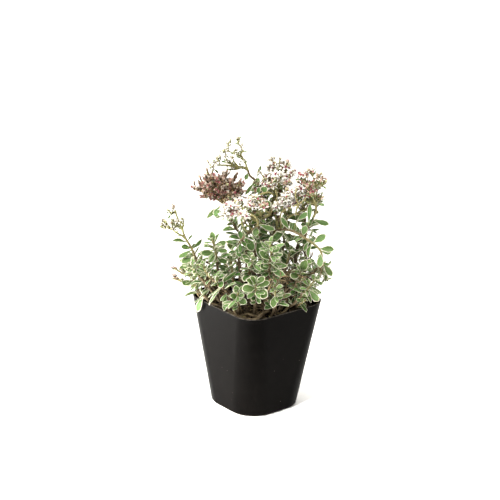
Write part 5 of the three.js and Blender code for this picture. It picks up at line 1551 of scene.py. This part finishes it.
def make_pot():
    edge, wall, top = POT_BASE_EDGE, POT_WALL, POT_HEIGHT
    base = [(edge * (1 - math.cos(a)), -edge * (1 - math.sin(a))) for a in np.linspace(0, math.pi / 2, 7)]
    rim = [(top - 0.5 + 0.5 * math.sin(a), -wall / 2 + (wall / 2) * math.cos(a))
           for a in np.linspace(0, math.pi, 9)]
    outside = [(height, 0) for height in (3, 6, 20, 40, 60, 80, 92, 96.5, 97.2)]
    inside = [(height, -wall) for height in (97, 96, 88, 60, 30, 6, 3.2)]
    profile = [(0, -edge - 6), (0, -edge - 0.4), *base, *outside, *rim, *inside,
               (POT_FLOOR, -wall - 1.2), (POT_FLOOR, -wall - 9)]
    rings = np.array([square_ring(height, grow) for height, grow in profile])
    # Marks the rim, where a painted highlight goes, and the scuffed base edge
    worn = np.array([h > top - 0.6 or (h < edge * 0.7 and g > -edge - 0.2) for h, g in profile], float)
    piece = Piece("nursery_pot", [pot_finish()])
    piece.add(rings, 0, ends=(np.zeros(3), POT_FLOOR * UP), worn=worn[:, None])
    pot = piece.make(0, "pot", "pot")
    for x, y in CORNERS:
        drill = Piece("drill", [])
        centre = np.array([x, y, 0]) * DRAIN_HOLE_OFFSET
        line = [centre + UP * z for z in (-3, 3 * POT_FLOOR)]
        drill.add(tube_rings(line, (DRAIN_HOLE_RADIUS,) * 2, 28))
        cut(pot, drill)


def cut(piece, drill):
    """Cuts a closed body out of a piece, for good."""
    tool = new_object(drill.name, drill.mesh())
    change = piece.modifiers.new("hole", "BOOLEAN")
    change.object = tool
    change.solver = "EXACT"
    bpy.context.view_layer.update()
    done = bpy.data.meshes.new_from_object(piece.evaluated_get(bpy.context.evaluated_depsgraph_get()))
    piece.modifiers.clear()
    piece.data = done
    bpy.data.objects.remove(tool)


def crumbly_top(x, y):
    """The soil's fine height: the mound, lumps and crumbs."""
    at = Vector((x, y, 0))
    lumps = 0.75 * noise.noise(at * 0.16) + 0.5 * noise.noise(at * 0.45 + Vector((3, 1, 0)))
    crumbs = 0.34 * noise.noise(at * 1.1) + 0.16 * noise.noise(at * 2.6)
    return soil_top(x, y) + lumps + crumbs


def make_soil():
    grow = -(POT_WALL + SOIL_GAP)
    steps = 34
    rings = [square_ring(height, grow, steps) for height in (POT_FLOOR + SOIL_GAP, SOIL_LEVEL - 4)]
    rim = square_ring(SOIL_LEVEL, grow, steps)
    for share in np.linspace(1, 0.015, 74):
        ring = rim * (share, share, 1)
        ring[:, 2] = [crumbly_top(x, y) for x, y, _ in ring]
        rings.append(ring)
    piece = Piece("potting_mix", [soil_finish()])
    piece.add(np.array(rings))
    piece.make(0, "soil", "soil")


def spot_in_pot(draw, reach=1.0):
    """A point of the soil's surface, anywhere inside the rim."""
    while True:
        x, y = (2 * draw() - 1) * LITTER_REACH, (2 * draw() - 1) * LITTER_REACH
        if not near_wall(x, y, 2.2) and math.hypot(x, y) < LITTER_REACH * reach:
            return x, y


def spot_in_front(draw, reach):
    """A point of the soil's surface towards the pot's front corner."""
    return turned((2 * reach * draw() - reach, 20 * draw() - 38, 0))[:2]


def lump(size, draw, flat):
    """An irregular lump as a mesh about the origin."""
    shape = bmesh.new()
    bmesh.ops.create_icosphere(shape, subdivisions=2 if size > 1.3 else 1, radius=1)
    points = np.array([v.co for v in shape.verts])
    faces = np.array([[v.index for v in f.verts] for f in shape.faces])
    shape.free()
    shift = Vector((50 * draw(), 50 * draw(), 50 * draw()))
    rough = [1 + 0.45 * noise.noise(Vector(p) * 1.1 + shift) + 0.2 * noise.noise(Vector(p) * 2.7 + shift)
             for p in points]
    spin = Quaternion([draw() - 0.5 for _ in range(4)]).normalized().to_matrix()
    return (points * np.array(rough)[:, None] * flat * size) @ np.array(spin), faces


def make_crumbs():
    """Loose crumbs of potting mix, bits of bark and a few pale husks."""
    draw = seeded_random(4093)
    crumbs, bits = Piece("soil_crumbs", [soil_finish()]), Piece("bark_bits", [bark_finish()])
    kinds = ((crumbs, 800, 0.35, 1.1, 2.5, (1, 1, 1), 0.3), (bits, 260, 0.7, 1.5, 2, (1.5, 0.7, 0.32), 0.35))
    for piece, count, least, more, power, flat, rise in kinds:
        for _ in range(count):
            x, y = spot_in_pot(draw)
            size = least + more * draw() ** power
            points, faces = lump(size, draw, flat)
            piece.add_mesh(points + (x, y, crumbly_top(x, y) + rise * size), faces, tint=draw())
        piece.make(0, "soil")


# Old stems that lie in front, as points of the picture frame, each with its radius
FALLEN = [
    ([(-24, -30, 93), (-17, -37, 94), (-9, -42, 93), (-1, -45, 94), (6, -47, 92)], 2.1),
    ([(-12, -34, 95), (-5, -40, 97), (3, -42, 95), (11, -40, 93)], 1.3),
    ([(2, -44, 94), (8, -40, 99), (14, -33, 104), (19, -25, 108)], 1.4),
    ([(-46, -12, 95), (-38, -19, 97), (-30, -25, 97), (-22, -31, 95), (-15, -36, 92)], 1.6),
    ([(-40, -10, 99), (-31, -17, 103), (-24, -22, 102), (-17, -29, 97), (-12, -34, 92)], 1.1),
    ([(-50, -4, 93), (-45, -9, 98), (-38, -14, 97), (-31, -20, 92)], 1.2),
    ([(-27, -20, 94), (-21, -30, 98), (-18, -38, 98), (-14, -43, 93)], 1.0),
    ([(10, -46, 92), (17, -39, 94), (26, -33, 94), (34, -25, 92)], 1.3),
    ([(16, -42, 93), (24, -32, 98), (30, -20, 101), (33, -8, 100)], 1.0),
    ([(-4, -50, 91), (3, -46, 95), (6, -38, 97), (4, -28, 98)], 0.9),
    ([(28, -20, 93), (36, -16, 98), (42, -9, 103), (46, -2, 110)], 1.1),
    ([(38, -14, 92), (44, -10, 99), (49, -7, 108), (52, -4, 118)], 0.9),
]


def rough_radii(count, thick, taper, seed, sides=8):
    """Knobbly radii round a dead stem, which thins towards its end."""
    bumps = [[1 + 0.28 * noise.noise(Vector((k * 0.7, j * 1.3, seed))) for j in range(sides)]
             for k in range(count)]
    return thick * (1 - taper * np.linspace(0, 1, count))[:, None] * np.array(bumps)


def scar_rings(steps):
    """Leaf scars as soft rings, from 0 to 1, at steps along a dead stem."""
    return np.clip(np.sin(steps) * 2 - 1, 0, 1)[:, None]


def wandering(line, reach, seed):
    """A line of points shaken by smooth noise."""
    return [np.array(p) + reach * drift(Vector(p) * 0.13 + Vector((seed, 0, 0))) for p in line]


def make_dead_stems():
    """Old stems: those that lie in front, and bare, twisted ones on the soil."""
    draw = seeded_random(977)
    piece = Piece("dead_stems", [stem_finish()])
    for seed, (way, radius) in enumerate(FALLEN):
        curve = Curve([turned(p) for p in way])
        count = int(curve.length() / 1.1)
        line = wandering([curve.at(s) for s in np.linspace(0, 1, count)], 1.6, seed)
        piece.add(tube_rings(line, rough_radii(count, radius, 0.3, seed), 8), wood=0.55 + 0.4 * draw(),
                  scar=scar_rings(np.arange(count) * 1.3))
    for i in range(DEAD_STEMS):
        x, y = spot_in_front(draw, 20) if i < DEAD_STEMS_IN_FRONT else spot_in_pot(draw, 0.9)
        heading, turn = 6.3 * draw(), 1.6 * (draw() - 0.5)
        lift, length = 1.2 + 6.5 * draw(), 9 + 20 * draw()
        line = lying_line(x, y, heading, turn, lift, length, i)
        if len(line) >= 5:
            radii = rough_radii(len(line), 0.45 + 0.65 * draw(), 0.45, i)
            piece.add(tube_rings(line, radii, 8), wood=0.75 + 0.5 * draw(),
                      scar=scar_rings(np.linspace(0, length * 1.7, len(line))))
    piece.make(0, "soil")


def lying_line(x, y, heading, turn, lift, length, seed):
    """A line over the soil from (x, y) along a heading that turns and strays, until it meets the wall."""
    steps = max(8, int(length / 1.6))
    line = []
    for k in range(steps + 1):
        if near_wall(x, y, 2.4):
            break
        height = crumbly_top(x, y) - 0.6 + lift * math.sin(math.pi * k / steps)
        line.append((x, y, height + 0.5 * noise.noise(Vector((x, y, seed)))))
        heading += turn / steps + 0.5 * noise.noise(Vector((x * 0.2, y * 0.2, seed)))
        x, y = x + length / steps * math.cos(heading), y + length / steps * math.sin(heading)
    return line


def make_dead_twigs():
    """Thin dead twigs that stand among the stems, with withered leaves on them."""
    draw = seeded_random(61403)
    piece = Piece("dead_twigs", [stem_finish(), dry_leaf_finish()])
    for seed in range(DEAD_TWIGS):
        u, v = 34 * (2 * draw() - 1), 34 * (2 * draw() - 1)
        if seed < DEAD_TWIGS_AT_RIGHT:
            u, v = 14 + 24 * draw(), -22 + 34 * draw()
        foot = np.array([u, v, SOIL_LEVEL + 1])
        lean = np.array([u / 80 + 0.5 * (draw() - 0.5), v / 90 + 0.4 * (draw() - 0.5), 1])
        height = 20 + 38 * draw()
        curve = Curve([foot, foot + 0.5 * height * unit(lean), foot + height * unit(lean * (1.4, 1.4, 1))])
        if near_wall(*turned(foot)[:2], 3) or not in_reach(curve.at(1) * (1.06, 1, 1)):
            continue
        count = int(height / 2)
        shares = np.linspace(0, 1, count)
        line = wandering([curve.at(s) for s in shares], 3.4, seed)
        radii = rough_radii(count, 0.5 + 0.35 * draw(), 0.55, seed, 6)
        piece.add(tube_rings(line, radii, 6), wood=0.8 + 0.3 * draw())
        for at, share in list(zip(line, shares))[3:]:
            if draw() <= 0.75:
                leaf = withered_leaf((at, *place_on(curve, share)[1:]), draw, 50, 95, 4)
                if fits("dead_twigs", leaf):
                    add_leaf(piece, leaf, draw, 1, DRY_LEAF_ROWS, SEPAL_SECTION)
    piece.make(PLANT_TURN, "soil")


def make_dead_leaves():
    """Fallen leaves, curled and brown, on the soil."""
    draw = seeded_random(5512)
    piece = Piece("fallen_leaves", [dry_leaf_finish()])
    for i in range(FALLEN_LEAVES):
        x, y = spot_in_front(draw, 22)
        if i >= FALLEN_LEAVES_IN_FRONT:
            x, y = spot_in_pot(draw)
        if near_wall(x, y, 3.5):
            continue
        heading, tilt = 6.3 * draw(), 0.5 * (draw() - 0.3)
        direction = unit(np.array([math.cos(heading), math.sin(heading), tilt]))
        face = square_to(UP + 0.7 * np.array([draw() - 0.5, draw() - 0.5, 0]), direction)
        length = 5 + 5 * draw()
        leaf = leaf_axes(np.array([x, y, crumbly_top(x, y) + 0.9]), direction, face, 0)
        leaf.update(length=length, half=length * (0.14 + 0.12 * draw()), bend=0.5 * (draw() - 0.3), young=0)
        if not near_wall(*leaf_point(leaf, 1, 0, 0)[:2], 1):
            add_leaf(piece, leaf, draw, 0, DRY_LEAF_ROWS, SEPAL_SECTION)
    piece.make(0, "soil")


# Floor, light and camera. Lengths are in metres here, and the camera was fitted to the pot in the photo.

FLOOR_REACH = 30
LIGHT_COLOUR = (1, 0.985, 0.95)
WORLD_STRENGTH = 0.3
FOCAL_PIXELS = 1785.7
PHOTO_SIDE = 500
SENSOR_WIDTH = 36
CAMERA_RISE = math.radians(22.6)
CAMERA_ROLL = 0.030
CAMERA_DISTANCE = 1.5695
AIM_HEIGHT = 0.049
AIM_SHOWN_AT = (255.3, 348.4)

# Each light's place and aim in the picture frame, its side, its power and its spread in degrees
LIGHTS = [
    ("key", (-2.6, -1.2, 2.6), (0, 0, 0.12), 2.0, 160, 180),
    ("top", (0.3, 0.6, 4.0), (0, 0.6, 0), 3.0, 280, 180),
    ("glow", (-0.38, -0.02, 0.12), (-0.36, -0.02, 0), 0.26, 5, 180),
    ("strip", (-0.3, -0.42, 0.22), (-0.085, -0.13, 0), 0.06, 0.35, 28),
]


def make_floor():
    mesh = bpy.data.meshes.new("floor")
    mesh.from_pydata([(x * FLOOR_REACH, y * FLOOR_REACH, 0) for x, y in CORNERS], [], [(0, 1, 2, 3)])
    mesh.materials.append(floor_finish())
    floor = new_object("floor", mesh)


def soft_light(name, place, aim, size, power, spread):
    """A square area light. Its place and aim are metres in the picture frame."""
    lamp = bpy.data.lights.new(name, "AREA")
    lamp.size, lamp.energy, lamp.spread = size, power, math.radians(spread)
    lamp.color = LIGHT_COLOUR
    light = new_object(name, lamp)
    place, aim = Vector(turned(place)), Vector(turned(aim))
    light.location = place
    light.rotation_mode = "QUATERNION"
    light.rotation_quaternion = (aim - place).to_track_quat("-Z", "Y")


def light_scene():
    world = bpy.data.worlds.new("studio")
    world.use_nodes = True
    sky = world.node_tree.nodes["Background"]
    sky.inputs["Color"].default_value = (*LIGHT_COLOUR, 1)
    sky.inputs["Strength"].default_value = WORLD_STRENGTH
    bpy.context.scene.world = world
    for light in LIGHTS:
        soft_light(*light)
    bpy.context.scene.view_settings.view_transform = "Standard"


def make_camera():
    """The photograph's camera. The point that it aims at shows away from the frame's middle, so the whole
    camera is tilted until it does."""
    e = CAMERA_RISE
    back = Vector((math.sin(PLANT_TURN) * math.cos(e), -math.cos(PLANT_TURN) * math.cos(e), math.sin(e)))
    level = Vector((math.cos(PLANT_TURN), math.sin(PLANT_TURN), 0))
    up = back.cross(level)
    right = math.cos(CAMERA_ROLL) * level + math.sin(CAMERA_ROLL) * up
    down = math.sin(CAMERA_ROLL) * level - math.cos(CAMERA_ROLL) * up
    shown = [(c - PHOTO_SIDE / 2) / FOCAL_PIXELS for c in AIM_SHOWN_AT]
    seen = Vector((*shown, 1)).normalized()
    tilt = Vector((0, 0, 1)).rotation_difference(seen).to_matrix().transposed()
    axes = Matrix((right, down, -back)).transposed() @ tilt
    camera = new_object("camera", bpy.data.cameras.new("camera"))
    camera.data.sensor_width = SENSOR_WIDTH
    camera.data.lens = FOCAL_PIXELS * SENSOR_WIDTH / PHOTO_SIDE
    camera.data.clip_end = 100
    turn = Matrix((axes.col[0], -axes.col[1], -axes.col[2])).transposed()
    place = Vector((0, 0, AIM_HEIGHT)) + back * CAMERA_DISTANCE
    camera.matrix_world = Matrix.Translation(place) @ turn.to_4x4()
    bpy.context.scene.camera = camera


make_camera()
light_scene()
make_floor()

for stem in STEMS:
    occupy(stem["name"], stem_balls(stem))
chosen = {stem["name"]: chosen_leaves(stem) for stem in STEMS}
head_plans = [head_plan(head) for head in HEADS]
leaf_plans = [(stem, chosen[stem["name"]] + paired_leaves(stem)) for stem in STEMS]

make_pot()
make_soil()
make_crumbs()
make_dead_stems()
make_dead_leaves()
make_stems()
flower_finishes = [green_part_finish(), petal_finish(), bud_finish(), carpel_finish(), anther_finish(),
                   spent_finish(), bpy.data.materials["variegated_leaf"]]
make_heads(flower_finishes)
make_thickets(flower_finishes)
make_high_leaves(flower_finishes)
make_dead_twigs()
